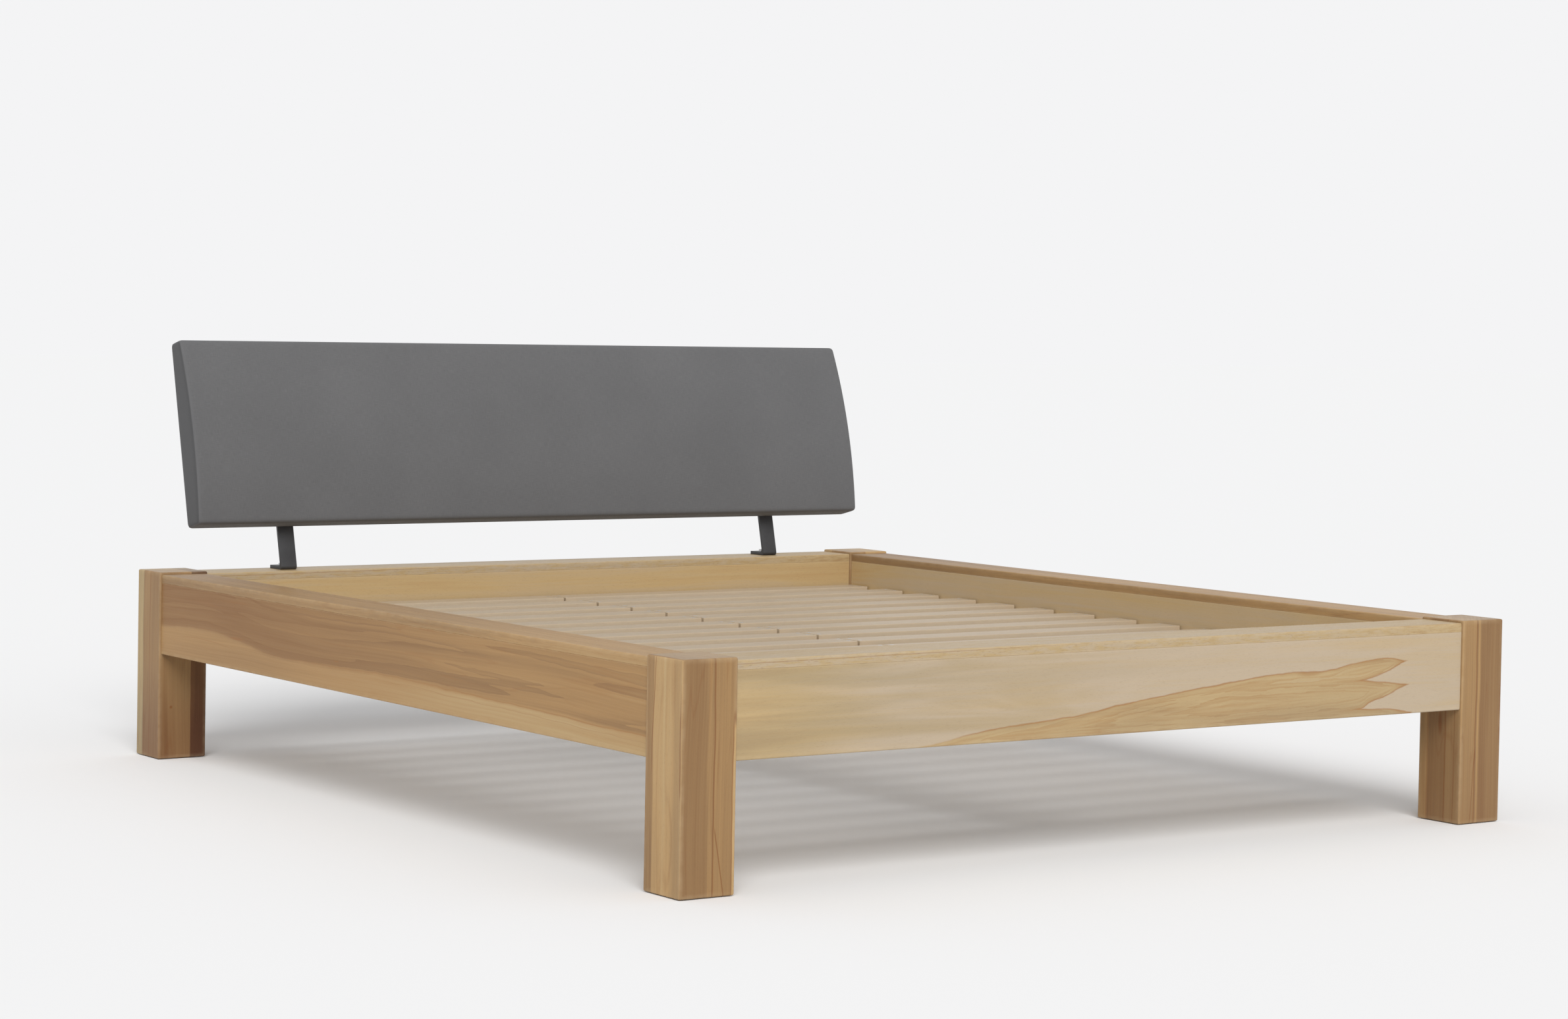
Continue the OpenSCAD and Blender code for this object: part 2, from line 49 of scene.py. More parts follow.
ARRIS = 0.003            # rounding of the timber's outer edges
JOINT_EASE = 0.0006      # the slight easing where two boards meet
RUNNER_EASE = 0.0016
SLAT_EASE = 0.002
ROUNDED_FROM = 0.0015    # an edge with a larger radius than this is rounded by an arc
SHOULDER = 0.007         # how far the band of wear and painted highlight runs in from a rounded edge
NARROW = 0.35            # share of that band beside an edge that is only eased
BOARD_CURVES = 0.2       # height that the drawn lines of the grain can reach
SLAT_N = 14
SLAT_W = 0.070
SCREW_STEP = 0.036       # between the two screws in a slat's end
SCREW_L = 0.045
SCREW_HEAD = 0.0048
SCREW_SHANK = 0.0024
PROUD = 0.0001           # how far a screw's head stands out of the timber
LEDGE_SCREWS = 7
GLIDE_R = 0.024
BEAM_WALL = 0.003
BEAM_CORNER = 0.0045
LEAN = math.radians(13.5)
PAD_LOW = 0.101          # up the slope from the rail to the pad
PAD_HIGH = 0.531
PAD_BOTTOM_T = 0.056
PAD_TOP_T = 0.041
PAD_CROWN = 0.020
PAD_EDGE = 0.009
PAD_SWELL = 0.004        # the furthest that the cover may swell
HEM = 0.035              # the cover's edge, turned round to the back
LAP = 0.010              # of the back cloth over the hem
CLOTH_T = 0.0006
STAPLE_IN = 0.005        # from the cloth's edge to the staples
STAPLE_STEP = 0.040
STAPLE_W = 0.0100
WIRE = 0.0011
COVER_T = 0.0015
BOARD_T = 0.015
BRACKET_T = 0.008
BRACKET_BEND = 0.007
BRACKET_FOOT = 0.060
BRACKET_UP = 0.321       # length of the bracket's upright along its slope
BRACKET_ARRIS = 0.0009
PANEL_BOLTS = (0.141, 0.211, 0.281)     # up the upright, from the bend
FOOT_SCREWS = (0.040, 0.022)            # along the foot, from the bend
SLAT_SEED = 5            # seeds of the draws: slats' tones, and how screws and staples lie
SCREW_SEED = 11
LAG_SEED = 4
STAPLE_SEED = 21

# ---------------------------------------------------------------- colours


def tint(r, g, b):
    """A colour named as it looks, turned into the light values that the shader wants."""
    def linear(c):
        c /= 255.0
        return c / 12.92 if c <= 0.04045 else ((c + 0.055) / 1.055) ** 2.4
    return (linear(r), linear(g), linear(b), 1.0)


SAPWOOD = tint(178, 162, 141)
WARM_SAP = tint(183, 158, 117)
HONEY = tint(169, 135, 91)
TAN = tint(138, 109, 75)
RED_BROWN = tint(113, 80, 51)
DARK_STREAK = tint(80, 50, 32)
OLIVE_STAIN = tint(146, 132, 106)
VEIN_BROWN = tint(114, 68, 32)
AMBER = tint(144, 98, 52)
TAWNY = tint(142, 103, 58)
PALE_GOLD = tint(200, 172, 128)
GREY_OLIVE = tint(166, 163, 132)
CUT_END = tint(198, 178, 148)
FIBRE_LIGHT = tint(232, 214, 182)
# paler colour of the rounded edges: real wear and a painted highlight
WORN_EDGE_AND_HIGHLIGHT = tint(214, 192, 156)
PALE_GREY = tint(243, 243, 243)
BACKDROP = tint(244, 244, 245)

# ---------------------------------------------------------------- mixing a finish


class Value:
    """A number or vector inside a finish. Sums and products of values add nodes to it."""

    def __init__(self, finish, socket):
        self.finish = finish
        self.socket = socket

    def math(self, operation, *others):
        node = self.finish.add("ShaderNodeMath")
        node.operation = operation
        for slot, value in enumerate((self, *others)):
            self.finish.feed(node.inputs[slot], value)
        return Value(self.finish, node.outputs[0])

    def __add__(self, other):
        return self.math("ADD", other)

    def __sub__(self, other):
        return self.math("SUBTRACT", other)

    def __mul__(self, other):
        return self.math("MULTIPLY", other)

    def __truediv__(self, other):
        return self.math("DIVIDE", other)

    __radd__ = __add__
    __rmul__ = __mul__

    def less(self, edge, soft):
        """1 below the edge, 0 above it, fading over soft."""
        return self.step(edge + soft / 2, edge - soft / 2)

    def more(self, edge, soft):
        """0 below the edge, 1 above it, fading over soft."""
        return self.step(edge - soft / 2, edge + soft / 2)

    def step(self, start, end, low=0.0, high=1.0):
        """low at start, high at end, smooth between them."""
        node = self.finish.add("ShaderNodeMapRange")
        node.interpolation_type = "SMOOTHSTEP"
        if start > end:
            start, end, low, high = end, start, high, low
        self.finish.feed(node.inputs["Value"], self)
        for name, value in (("From Min", start), ("From Max", end), ("To Min", low), ("To Max", high)):
            self.finish.feed(node.inputs[name], value)
        return Value(self.finish, node.outputs["Result"])

    def line(self, width):
        """1 where the value is 0, gone at width to either side."""
        return self.math("ABSOLUTE").step(width, 0.0)

    def smaller(self, other):
        return self.math("MINIMUM", other)

    def larger(self, other):
        return self.math("MAXIMUM", other)


class Finish:
    """One material, and the nodes that make its colour, roughness and bump."""

    def __init__(self, name, **shader):
        self.material = bpy.data.materials.new(name)
        self.material.use_nodes = True
        self.tree = self.material.node_tree
        self.shader = self.tree.nodes["Principled BSDF"]
        for socket, value in shader.items():
            self.shader.inputs[socket.replace("_", " ")].default_value = value
        coordinates = self.add("ShaderNodeTexCoord")
        self.place = Value(self, coordinates.outputs["Object"])
        self.normal = Value(self, coordinates.outputs["Normal"])

    def add(self, kind):
        return self.tree.nodes.new(kind)

    def feed(self, socket, value):
        if isinstance(value, Value):
            self.tree.links.new(value.socket, socket)
        else:
            socket.default_value = value

    def attribute(self, name, output="Fac"):
        node = self.add("ShaderNodeAttribute")
        node.attribute_name = name
        return Value(self, node.outputs[output])

    def split(self, vector):
        node = self.add("ShaderNodeSeparateXYZ")
        self.feed(node.inputs[0], vector)
        return [Value(self, node.outputs[i]) for i in range(3)]

    def join(self, x, y, z):
        node = self.add("ShaderNodeCombineXYZ")
        for slot, value in enumerate((x, y, z)):
            self.feed(node.inputs[slot], value)
        return Value(self, node.outputs[0])

    def noise(self, vector, scale=1.0, detail=3.0, rough=0.5, warp=0.0):
        node = self.add("ShaderNodeTexNoise")
        self.feed(node.inputs["Vector"], vector)
        for name, value in (("Scale", scale), ("Detail", detail), ("Roughness", rough), ("Distortion", warp)):
            node.inputs[name].default_value = value
        return Value(self, node.outputs["Fac"])

    def pattern(self, x, y, z, detail=2.0, rough=0.5, warp=0.0):
        """Noise at a place whose three parts are scaled one by one."""
        return self.noise(self.join(x, y, z), 1.0, detail, rough, warp)

    def cells(self, vector, scale):
        node = self.add("ShaderNodeTexVoronoi")
        self.feed(node.inputs["Vector"], vector)
        node.inputs["Scale"].default_value = scale
        return Value(self, node.outputs["Distance"])

    def curve(self, value, points):
        """A smooth line through a few points of (place, height), both from 0 to 1."""
        node = self.add("ShaderNodeFloatCurve")
        line = node.mapping.curves[0]
        line.points[0].location = points[0]
        line.points[-1].location = points[-1]
        for place, height in points[1:-1]:
            line.points.new(place, height)
        node.mapping.update()
        self.feed(node.inputs["Value"], value)
        return Value(self, node.outputs[0])

    def mix(self, share, first, second, how="MIX"):
        node = self.add("ShaderNodeMix")
        node.data_type = "RGBA"
        node.blend_type = how
        self.feed(node.inputs[0], share)
        self.feed(node.inputs[6], first)
        self.feed(node.inputs[7], second)
        return Value(self, node.outputs[2])

    def ramp(self, value, stops):
        node = self.add("ShaderNodeValToRGB")
        elements = node.color_ramp.elements
        while len(elements) < len(stops):
            elements.new(1.0)
        for element, (place, colour) in zip(elements, stops):
            element.position = place
            element.color = colour
        self.feed(node.inputs[0], value)
        return Value(self, node.outputs[0])

    def bump(self, height, depth, strength=1.0):
        node = self.add("ShaderNodeBump")
        node.inputs["Strength"].default_value = strength
        node.inputs["Distance"].default_value = depth
        self.feed(node.inputs["Height"], height)
        self.feed(self.shader.inputs["Normal"], Value(self, node.outputs[0]))

    def paint(self, colour, rough=None):
        self.feed(self.shader.inputs["Base Color"], colour)
        if rough is not None:
            self.feed(self.shader.inputs["Roughness"], rough)
        return self.material


# ---------------------------------------------------------------- timber finishes

TIMBER_TONES = [
    (0.0, SAPWOOD), (0.2, WARM_SAP), (0.4, HONEY), (0.6, TAN), (0.8, RED_BROWN), (1.0, DARK_STREAK),
]


class Timber(Finish):
    """Oiled timber. u runs along the grain, v across the face and w into the board, in metres."""

    def __init__(self, name, axes="XZY", gloss=0.46):
        super().__init__(name, Roughness=gloss, Specular_IOR_Level=0.26,
                         Coat_Weight=0.04, Coat_Roughness=0.35)
        self.x, self.y, self.z = self.split(self.place)
        if axes == "board":
            self.stock = self.attribute("stock")
            self.u, self.v, self.w = self.split(self.attribute("grain", "Vector"))
            self.u = self.u + self.stock * 7.3
            self.v = self.v + self.stock * 1.9
        else:
            places = {"X": self.x, "Y": self.y, "Z": self.z}
            self.u, self.v, self.w = (places[a] for a in axes)
        self.face_x, self.face_y, self.face_z = self.split(self.normal)
        self.gloss = gloss
        drift = (self.flecks(1.1, 3.0) - 0.5) * 0.05
        self.across = self.v + self.w * 0.45 + drift

    def stripes(self, along, across, detail=4.0, rough=0.55):
        """Growth streaks: along and across are how many of them there are to a metre."""
        return self.pattern(self.u * along, self.across * across, self.w * across * 0.4, detail, rough)

    def flecks(self, along, across, detail=2.0):
        """Short marks that don't follow the streaks: along and across as for stripes."""
        return self.pattern(self.u * along, self.v * across, self.w * across, detail)

    def seams(self, share):
        """Fine dark lines where the noise of the growth rings passes its middle."""
        return (self.stripes(0.8, 17.0, 2.0) - share).line(0.010)

    def veins(self, rings, count):
        """Growth lines between the rings: dark at one edge, fading to the next."""
        saw = (rings * count).math("FRACT")
        return saw * saw

    def spot(self, along, across, centre, size):
        """A knot or smudge: an oval of the given half sizes round its centre, with a soft edge."""
        da = (along - centre[0]) / size[0]
        dc = (across - centre[1]) / size[1]
        return (da * da + dc * dc).math("SQRT").step(1.0, 0.3)

    def drawn_line(self, along, low, high, points):
        """The height of a line through points, each (place along the board, height), from low to high."""
        length = high - low
        spots = [((place - low) / length, height / BOARD_CURVES) for place, height in points]
        return self.curve((along - low) / length, spots) * BOARD_CURVES

    def finish(self, tone, streak=1.0, fleck=0.5, vein=0.0, stain=0.0, stain_colour=OLIVE_STAIN,
               vein_colour=VEIN_BROWN):
        """Turns a tone from 0, pale sapwood, to 1, dark heart, into the finished surface.

        streak and fleck say how lively the grain is. vein is how much of a growth line of vein_colour
        shows at a place, and stain how much of a patch of stain_colour.
        """
        broad = self.stripes(0.9, 26.0, 3.0, 0.5)
        fine = self.stripes(2.2, 230.0, 2.0)
        fibre = self.stripes(14.0, 1100.0, 2.0, 0.6)
        cloud = self.flecks(2.4, 9.0)
        shade = tone + (broad - 0.5) * (0.40 * streak) + (fine - 0.5) * (0.20 * streak)
        shade = shade + (cloud - 0.5) * 0.12
        colour = self.mix(stain, self.ramp(shade, TIMBER_TONES), stain_colour)
        lines = (self.seams(0.47) + self.seams(0.58) * 0.6) * shade.step(0.18, 0.5) * (0.24 * streak)
        colour = self.mix(lines.larger(vein), colour, vein_colour)
        marks = self.flecks(120.0, 900.0, 1.0).step(0.60, 0.74)
        colour = self.mix(marks * (0.30 * fleck), colour, RED_BROWN)
        colour = self.mix((fibre - 0.5) * 0.3 + 0.15, colour, FIBRE_LIGHT, "SOFT_LIGHT")
        colour = self.end_grain(colour)
        # The rounded edges get a paler band: partly real wear, partly a painted highlight where the edges
        # catch the light.
        wear_and_highlight = self.attribute("arris")
        patchy = self.noise(self.place, 38.0, 3.0).step(0.30, 0.70, 0.35, 1.0)
        colour = self.mix(wear_and_highlight * patchy * 0.15, colour, WORN_EDGE_AND_HIGHLIGHT)
        rough = fine * 0.14 + (self.gloss - 0.07) + marks * 0.08 + wear_and_highlight * 0.05
        self.bump(broad * 0.4 + fine * 0.5 + fibre * 0.5 - marks * 0.8, 0.00022, 0.5)
        return self.paint(colour, rough)

    def end_grain(self, colour):
        """The rings seen where the grain is cut across: faces that look along the board."""
        facing = self.attribute("end")
        away = (self.v * self.v + (self.w + 0.13) * (self.w + 0.13)).math("SQRT")
        rings = self.pattern(away * 260.0, self.v * 6.0, self.w * 6.0)
        pores = self.flecks(40.0, 1500.0, 1.0)
        cut = self.mix(0.42, colour, CUT_END)
        cut = self.mix(rings.step(0.35, 0.65) * 0.20, cut, RED_BROWN)
        cut = self.mix(pores.step(0.55, 0.75) * 0.10, cut, DARK_STREAK)
        return self.mix(facing, colour, cut)


def board_timber(name, tone, streak=1.0, fleck=0.5, spread=0.25):
    """Timber for boards that carry their own grain direction; each board has a tone of its own."""
    timber = Timber(name, "board")
    own = (timber.stock * 13.7).math("FRACT") - 0.5
    return timber.finish(own * spread + tone, streak, fleck)


def foot_face_timber():
    """The wide foot board: pale, with a brown heart that rises to the right and ends in three tongues."""
    timber = Timber("foot_board_timber", "XZY")
    x, z = timber.x, timber.z
    low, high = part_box("foot_rail_face")
    rise = z - low.z
    rise = rise + (timber.pattern(x * 24.0, z * 60.0, 0.0, 3.0) - 0.5) * 0.006

    def line(first, *between, last):
        points = [(low.x, first), *between, (high.x, last)]
        return timber.drawn_line(x, low.x, high.x, points)

    top = line(
        0.0, (-0.53, 0.0), (-0.48, 0.003), (-0.33, 0.024), (-0.14, 0.038), (0.02, 0.059),
        (0.23, 0.081), (0.43, 0.097), (0.51, 0.096), (0.60, 0.108), (0.69, 0.1145), (0.74, 0.107),
        last=0.095)
    upper_bay = line(0.072, (0.60, 0.072), (0.66, 0.081), (0.71, 0.0965), (0.745, 0.109), last=0.14)
    upper_shelf = line(0.075, (0.60, 0.074), (0.66, 0.068), (0.75, 0.059), last=0.03)
    lower_bay = line(0.014, (0.605, 0.015), (0.64, 0.028), (0.69, 0.041), (0.75, 0.061), last=0.09)
    lower_shelf = line(0.018, (0.605, 0.0155), (0.70, 0.011), (0.77, 0.001), last=0.0)
    heart = top - rise
    first_gap = (upper_bay - rise).smaller(rise - upper_shelf)
    second_gap = (lower_bay - rise).smaller(rise - lower_shelf)
    beyond = (x - 0.757) * 0.35
    gaps = first_gap.larger(second_gap).larger(beyond)
    heart = heart.smaller(gaps * -1.0)
    inside = heart.step(-0.0012, 0.0022)
    outline = heart.line(0.0026) * x.step(-0.52, -0.30)
    patchy = timber.pattern(x * 9.0, 0.0, z * 20.0)
    veins = timber.veins(timber.pattern(x * 1.8, heart * 50.0, 0.0, 3.0, 0.55), 6.0)
    deeper = rise.step(0.06, 0.0) * x.step(0.1, 0.5)
    tips = inside * x.step(0.695, 0.745) * 0.34
    tips = tips + timber.spot(x, rise, (0.475, 0.0935), (0.045, 0.008)) * inside * 0.26
    haze = timber.pattern(x * 1.6, 0.0, z * 16.0, 3.0, 0.6, warp=0.8)
    tone = x.step(-0.9, -0.5, 0.24, 0.02) + (haze - 0.5) * 0.30
    tone = tone + inside * (veins * 0.18 + deeper * 0.08 + 0.23)
    vein = outline * (patchy * 0.50 + 0.45) + tips * 1.3
    stain = haze.step(0.30, 0.65) * x.step(-0.9, 0.4, 0.62, 0.10)
    stain = stain + inside * (deeper * 0.25 + 0.25)
    return timber.finish(tone, streak=0.7, fleck=0.3, vein=vein, stain=stain, vein_colour=AMBER)


def side_face_timber(name, side):
    """The long side boards: brown heart above, a pale strip of sapwood along the lower edge."""
    timber = Timber(name, "YZX")
    y, z = timber.y, timber.z
    low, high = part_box("left_rail_face" if side < 0 else "right_rail_face")
    rise = z - low.z
    jag = (timber.pattern(y * 14.0, z * 30.0, 0.0, 3.0) - 0.5) * 0.008
    edge = timber.drawn_line(y, low.y, high.y, [
        (low.y, 0.035), (-0.86, 0.037), (-0.62, 0.043), (-0.40, 0.046), (-0.19, 0.051), (0.06, 0.049),
        (0.28, 0.045), (0.43, 0.046), (0.60, 0.064), (0.77, 0.074), (high.y, 0.064),
    ])
    heart = rise + jag - edge
    inside = heart.step(-0.006, 0.010)
    outline = (heart - 0.002).line(0.0024)
    below = (heart + 0.010).line(0.0016) * y.step(0.2, -0.3)
    veins = timber.veins(timber.pattern(y * 0.5, heart * 22.0, 0.0, 2.0, 0.35), 7.0)
    band = heart.step(0.045, 0.004) * y.step(0.1, -0.6)
    second = (heart + 0.022).line(0.0016) * y.step(0.60, 0.66) * y.step(0.9, 0.84)
    knots = timber.spot(y, z, (0.60, 0.305), (0.045, 0.005)) * 0.50
    knots = knots + timber.spot(y, z, (0.144, 0.298), (0.016, 0.0022)) * 0.6
    knots = knots + timber.spot(y, z, (-0.232, 0.394), (0.055, 0.003)) * 0.35
    tone = y.step(-0.9, 0.9, 0.25, 0.45) + veins * inside * 0.13
    tone = tone + inside * (band * 0.03 + y.step(0.2, 0.7, 0.16, 0.22))
    vein = outline * y.step(0.5, -0.7, 0.24, 0.44) + below * 0.28 + second * 0.40
    golden = y.step(-0.7, 0.5, 0.22, 0.52)
    vein = vein + knots
    stain = golden * (inside * 0.6 + 0.4)
    return timber.finish(tone, 0.85, 0.15, vein, stain, stain_colour=TAWNY, vein_colour=AMBER)


def cap_timber(name, axes, tone, lively):
    """Cap boards, with short pale flecks where lively is 1, and plain streaks where it is near 0."""
    timber = Timber(name, axes)
    silver = timber.pattern(timber.u * 26.0, timber.across * 260.0, timber.w * 160.0, rough=0.6)
    flecks = silver.step(0.42, 0.66) * (0.16 * lively) + timber.x.step(0.5, 0.9) * (0.12 * lively)
    darker_to_head = timber.y.step(0.1, 0.8) * 0.14 - timber.y.step(-0.1, -0.7) * 0.09
    flecks = flecks + darker_to_head * (1.0 - lively)
    growth_line = (timber.z - timber.x * 0.007 - 0.4135).line(0.0012)
    growth_line = growth_line * timber.x.step(0.1, -0.5) * lively
    return timber.finish(flecks + tone, 0.8, lively, growth_line * 0.5, silver * (0.55 * lively))


def leg_timber(name, node, paint_staves, stain_colour):
    """A leg glued up from staves. paint_staves takes the place across the leg from its middle, dx and dy,
    and gives the tone, how much of a growth line shows, and the share of stain_colour."""
    timber = Timber(name, "ZXY")
    low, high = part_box(node)
    middle = (low + high) / 2
    wander = (timber.pattern(0.0, 0.0, timber.z * 5.0) - 0.5) * 0.010
    dx = timber.x - middle.x + wander
    dy = timber.y - middle.y + wander
    tone, vein, stain = paint_staves(timber, dx, dy)
    return timber.finish(tone, streak=0.8, vein=vein, stain=stain, stain_colour=stain_colour)


def near_leg_staves(t, dx, dy):
    """Brown staves to the front; the left side is pale between a brown rear stave and a brown corner."""
    left = t.face_x.step(-0.5, -0.8)
    front = left * -1.0 + 1.0
    tone = dx.step(0.0105, 0.0120, 0.63, 0.54)
    pale_edge = dx.more(0.051, 0.003) * t.z.less(0.30, 0.02) * -0.20
    pale = dy.less(0.032, 0.006) * dy.more(-0.030, 0.020) * -0.17
    # painted shade: the left face is made darker towards the floor
    pale = pale + (dy + 0.003).line(0.008) * -0.07 + t.z.step(0.36, 0.04, 0.0, 0.09)
    tone = front * (tone + pale_edge) + left * (pale + dy.step(-0.03, -0.05, 0.50, 0.52))
    tone = tone + front * (dx - 0.002).line(0.010) * dx.less(0.010, 0.001) * -0.12
    vein = (dx - 0.0105).line(0.0026) * 0.62
    vein = vein + dx.more(0.050, 0.006) * (t.z - 0.315).line(0.014) * 0.5
    vein = vein + (dx - 0.0495).line(0.0020) * t.z.less(0.31, 0.03) * 0.55
    vein = vein + (dx + t.z * 0.17 - 0.034).line(0.0020) * t.z.less(0.12, 0.02) * 0.7
    rear_line = (dy + t.z * 0.05 - 0.048).line(0.0020) * t.z.more(0.22, 0.06) * 0.7
    corner = (dy + 0.054).line(0.0030) * t.z.more(0.18, 0.03) * t.z.less(0.34, 0.08) * 0.8
    return tone, front * vein + left * (rear_line + corner), left * 0.20 * dy.less(0.032, 0.006)


def right_leg_staves(t, dx, dy):
    """A paler stave at the left of the front, brown to its right, and a darker inner face."""
    front = t.face_y.step(-0.5, -0.8)
    inner = t.face_x.step(-0.5, -0.8)
    tone = dx.step(-0.0170, -0.0155, 0.54, 0.67) - (dx + 0.009).line(0.006) * 0.20
    tone = tone + inner * (dy.step(-0.030, -0.004, 0.05, 0.19) - dy.more(0.032, 0.004) * 0.20)
    vein = (dx + 0.0165).line(0.0026) * 0.62
    vein = vein + (dx + t.z * -0.07 + 0.027).line(0.0020) * t.z.less(0.15, 0.02) * 0.6
    vein = vein + (dx - 0.054).line(0.0022) * t.z.more(0.17, 0.03) * t.z.less(0.30, 0.03) * 0.6
    drop = t.spot(dy, t.z, (0.0, 0.205), (0.007, 0.034)) * 0.7
    rows = (dy + 0.015).line(0.0026) * 0.7 + (dy + 0.040).line(0.0020) * 0.5
    rows = rows + (dy - 0.034).line(0.004) * 0.4
    return tone, front * vein + inner * (drop + rows), 0.0


def head_left_leg_staves(t, dx, dy):
    """Brown to the outside with a grey-olive rear stave; a very dark stave runs up its inner edge."""
    front = t.face_y.step(-0.5, -0.8)
    dark_stave = dx.more(0.0195, 0.001) * (t.z.step(0.37, 0.40) * 0.25 + 0.25)
    # painted shade: the whole leg is made darker towards the floor
    tone = dy.step(0.027, 0.030, 0.58, 0.42) + dark_stave + t.z.step(0.24, 0.04, 0.0, 0.16)
    knot = t.spot(dx, t.z, (-0.028, 0.117), (0.005, 0.005)) * 0.7
    return tone, (dy + 0.008).line(0.0024) * 0.6 + front * knot, dy.more(0.026, 0.004) * 0.35


def head_right_leg_staves(_, dx, dy):
    """Two brown staves with a growth line between them, and a pale one at the back."""
    tone = dx.step(-0.012, -0.010, 0.58, 0.40) - dy.more(0.024, 0.001) * 0.24
    return tone, (dx + 0.011).line(0.0024) * 0.6, 0.0


def plywood():
    """Birch plywood: pale veneers seen as thin layers at its edges."""
    timber = Timber("birch_plywood", "board", 0.6)
    layers = (timber.w * 700.0).math("FRACT").step(0.3, 0.7)
    return timber.finish(layers * 0.05 + 0.16, streak=0.8, fleck=0.4)


# ---------------------------------------------------------------- other finishes


def powder_coat():
    """Fine-textured charcoal powder coat."""
    finish = Finish("charcoal_powder_coat", Specular_IOR_Level=0.45, Metallic=0.0)
    peel = finish.noise(finish.place, 900.0, 3.0, 0.6)
    wide = finish.noise(finish.place, 22.0, 3.0)
    wear_and_highlight = finish.attribute("arris")
    colour = finish.mix(wide.step(0.3, 0.7), tint(50, 50, 52), tint(58, 58, 60))
    # the same edge band, here a lighter grey: wear and a painted highlight
    colour = finish.mix(wear_and_highlight * 0.25, colour, tint(86, 86, 88))
    finish.bump(peel, 0.00025, 0.5)
    return finish.paint(colour, peel * 0.18 + 0.46)


def zinc_plate():
    """Bright zinc-plated screws and bolts, a little cloudy."""
    finish = Finish("zinc_plate", Metallic=1.0)
    cloud = finish.noise(finish.place, 240.0, 3.0)
    fine = finish.noise(finish.place, 1800.0, 2.0)
    colour = finish.mix(cloud.step(0.3, 0.7), tint(176, 178, 182), tint(208, 208, 206))
    finish.bump(fine, 0.00008, 0.4)
    return finish.paint(colour, cloud * 0.20 + 0.26)


def woven_cover():
    """Fine plain-weave cloth in mid grey, each thread shaded by where it passes over or under.
    The pad's narrow ends are painted darker: a painted shade on the side faces."""
    finish = Finish("grey_weave", Specular_IOR_Level=0.18, Sheen_Weight=0.12, Sheen_Roughness=0.45)
    warp, weft, _ = finish.split(finish.attribute("cloth", "Vector"))
    threads = 1150.0         # to a metre, each way
    wave = (warp * threads * math.pi).math("SINE") * (weft * threads * math.pi).math("SINE")
    slub = finish.pattern(warp * 60.0, weft * 1400.0, 0.0, 3.0)
    slub_across = finish.pattern(warp * 1400.0, weft * 60.0, 3.0, 3.0)
    soft = finish.noise(finish.place, 5.0, 3.0)
    to_end, _, _ = finish.split(finish.normal)
    # painted shade: faces that look along X, the pad's narrow ends, are mixed towards a dark grey
    ends = (to_end * to_end).step(0.45, 0.85)
    shade = wave * 0.10 + (slub - 0.5) * 0.5 + (slub_across - 0.5) * 0.5 + (soft - 0.5) * 0.25 + 0.5
    greys = [(0.0, tint(82, 82, 83)), (0.5, tint(101, 101, 102)), (1.0, tint(120, 120, 121))]
    colour = finish.mix(ends * 0.62, finish.ramp(shade, greys), tint(62, 62, 63))
    finish.bump(wave * 0.5 + slub * 0.5 + slub_across * 0.5, 0.00030, 0.6)
    return finish.paint(colour, (slub + slub_across) * 0.10 + 0.78)


def dust_cloth():
    """Black bonded cloth with a pressed dot pattern."""
    finish = Finish("black_dust_cloth", Specular_IOR_Level=0.25)
    across, up, _ = finish.split(finish.attribute("cloth", "Vector"))
    dots = finish.cells(finish.join(across, up, 0.0), 420.0)
    fluff = finish.noise(finish.place, 700.0, 3.0)
    colour = finish.mix(dots.step(0.2, 0.6), tint(30, 30, 32), tint(48, 48, 50))
    finish.bump(dots * -0.6 + fluff * 0.4, 0.0004, 0.6)
    return finish.paint(colour, fluff * 0.15 + 0.76)


def felt():
    """Pressed grey felt."""
    finish = Finish("grey_felt", Specular_IOR_Level=0.1, Sheen_Weight=0.3, Sheen_Roughness=0.5)
    fluff = finish.noise(finish.place, 1200.0, 4.0, 0.7)
    colour = finish.mix(fluff.step(0.3, 0.7), tint(86, 84, 82), tint(122, 119, 115))
    finish.bump(fluff, 0.0008, 0.8)
    return finish.paint(colour, fluff * 0.1 + 0.85)


# ---------------------------------------------------------------- making meshes


def put(name, data):
    """An object in the scene, at the origin."""
    thing = bpy.data.objects.new(name, data)
    bpy.context.scene.collection.objects.link(thing)
    return thing


def new_piece(name, mesh, body, *stands_for, slot, finish=None):
    """A finished piece at the origin, riding on its body and standing for its CAD nodes."""
    piece = put(name, mesh)
    if finish is not None:
        mesh.materials.clear()
        mesh.materials.append(finish)
    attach(piece, body)
    if stands_for:
        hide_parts(*stands_for)
    return piece


def settle(source, name):
    """The source with its modifiers carried out, as a plain mesh. The source itself is taken away."""
    bpy.context.view_layer.update()
    graph = bpy.context.evaluated_depsgraph_get()
    shaped = source.evaluated_get(graph)
    mesh = bpy.data.meshes.new_from_object(shaped, preserve_all_data_layers=True, depsgraph=graph)
    mesh.name = name
    bpy.data.objects.remove(source)
    return mesh


def smooth_mesh(made, name, sharp=None):
    """A bmesh made into a smooth-shaded mesh; edges that turn by more than sharp degrees stay sharp."""
    for face in made.faces:
        face.smooth = True
    mesh = bpy.data.meshes.new(name)
    made.to_mesh(mesh)
    made.free()
    if sharp is not None:
        mesh.set_sharp_from_angle(angle=math.radians(sharp))
    return mesh


def finish_mesh(made, name, sharp):
    """A bmesh closed, with its faces turned outward, and made into a mesh."""
    bmesh.ops.remove_doubles(made, verts=made.verts, dist=1e-6)
    bmesh.ops.recalc_face_normals(made, faces=made.faces)
    return smooth_mesh(made, name, sharp)


def join_loops(made, first, second):
    """Faces between two loops of as many points."""
    for i in range(len(first)):
        j = (i + 1) % len(first)
        made.faces.new((first[i], first[j], second[j], second[i]))


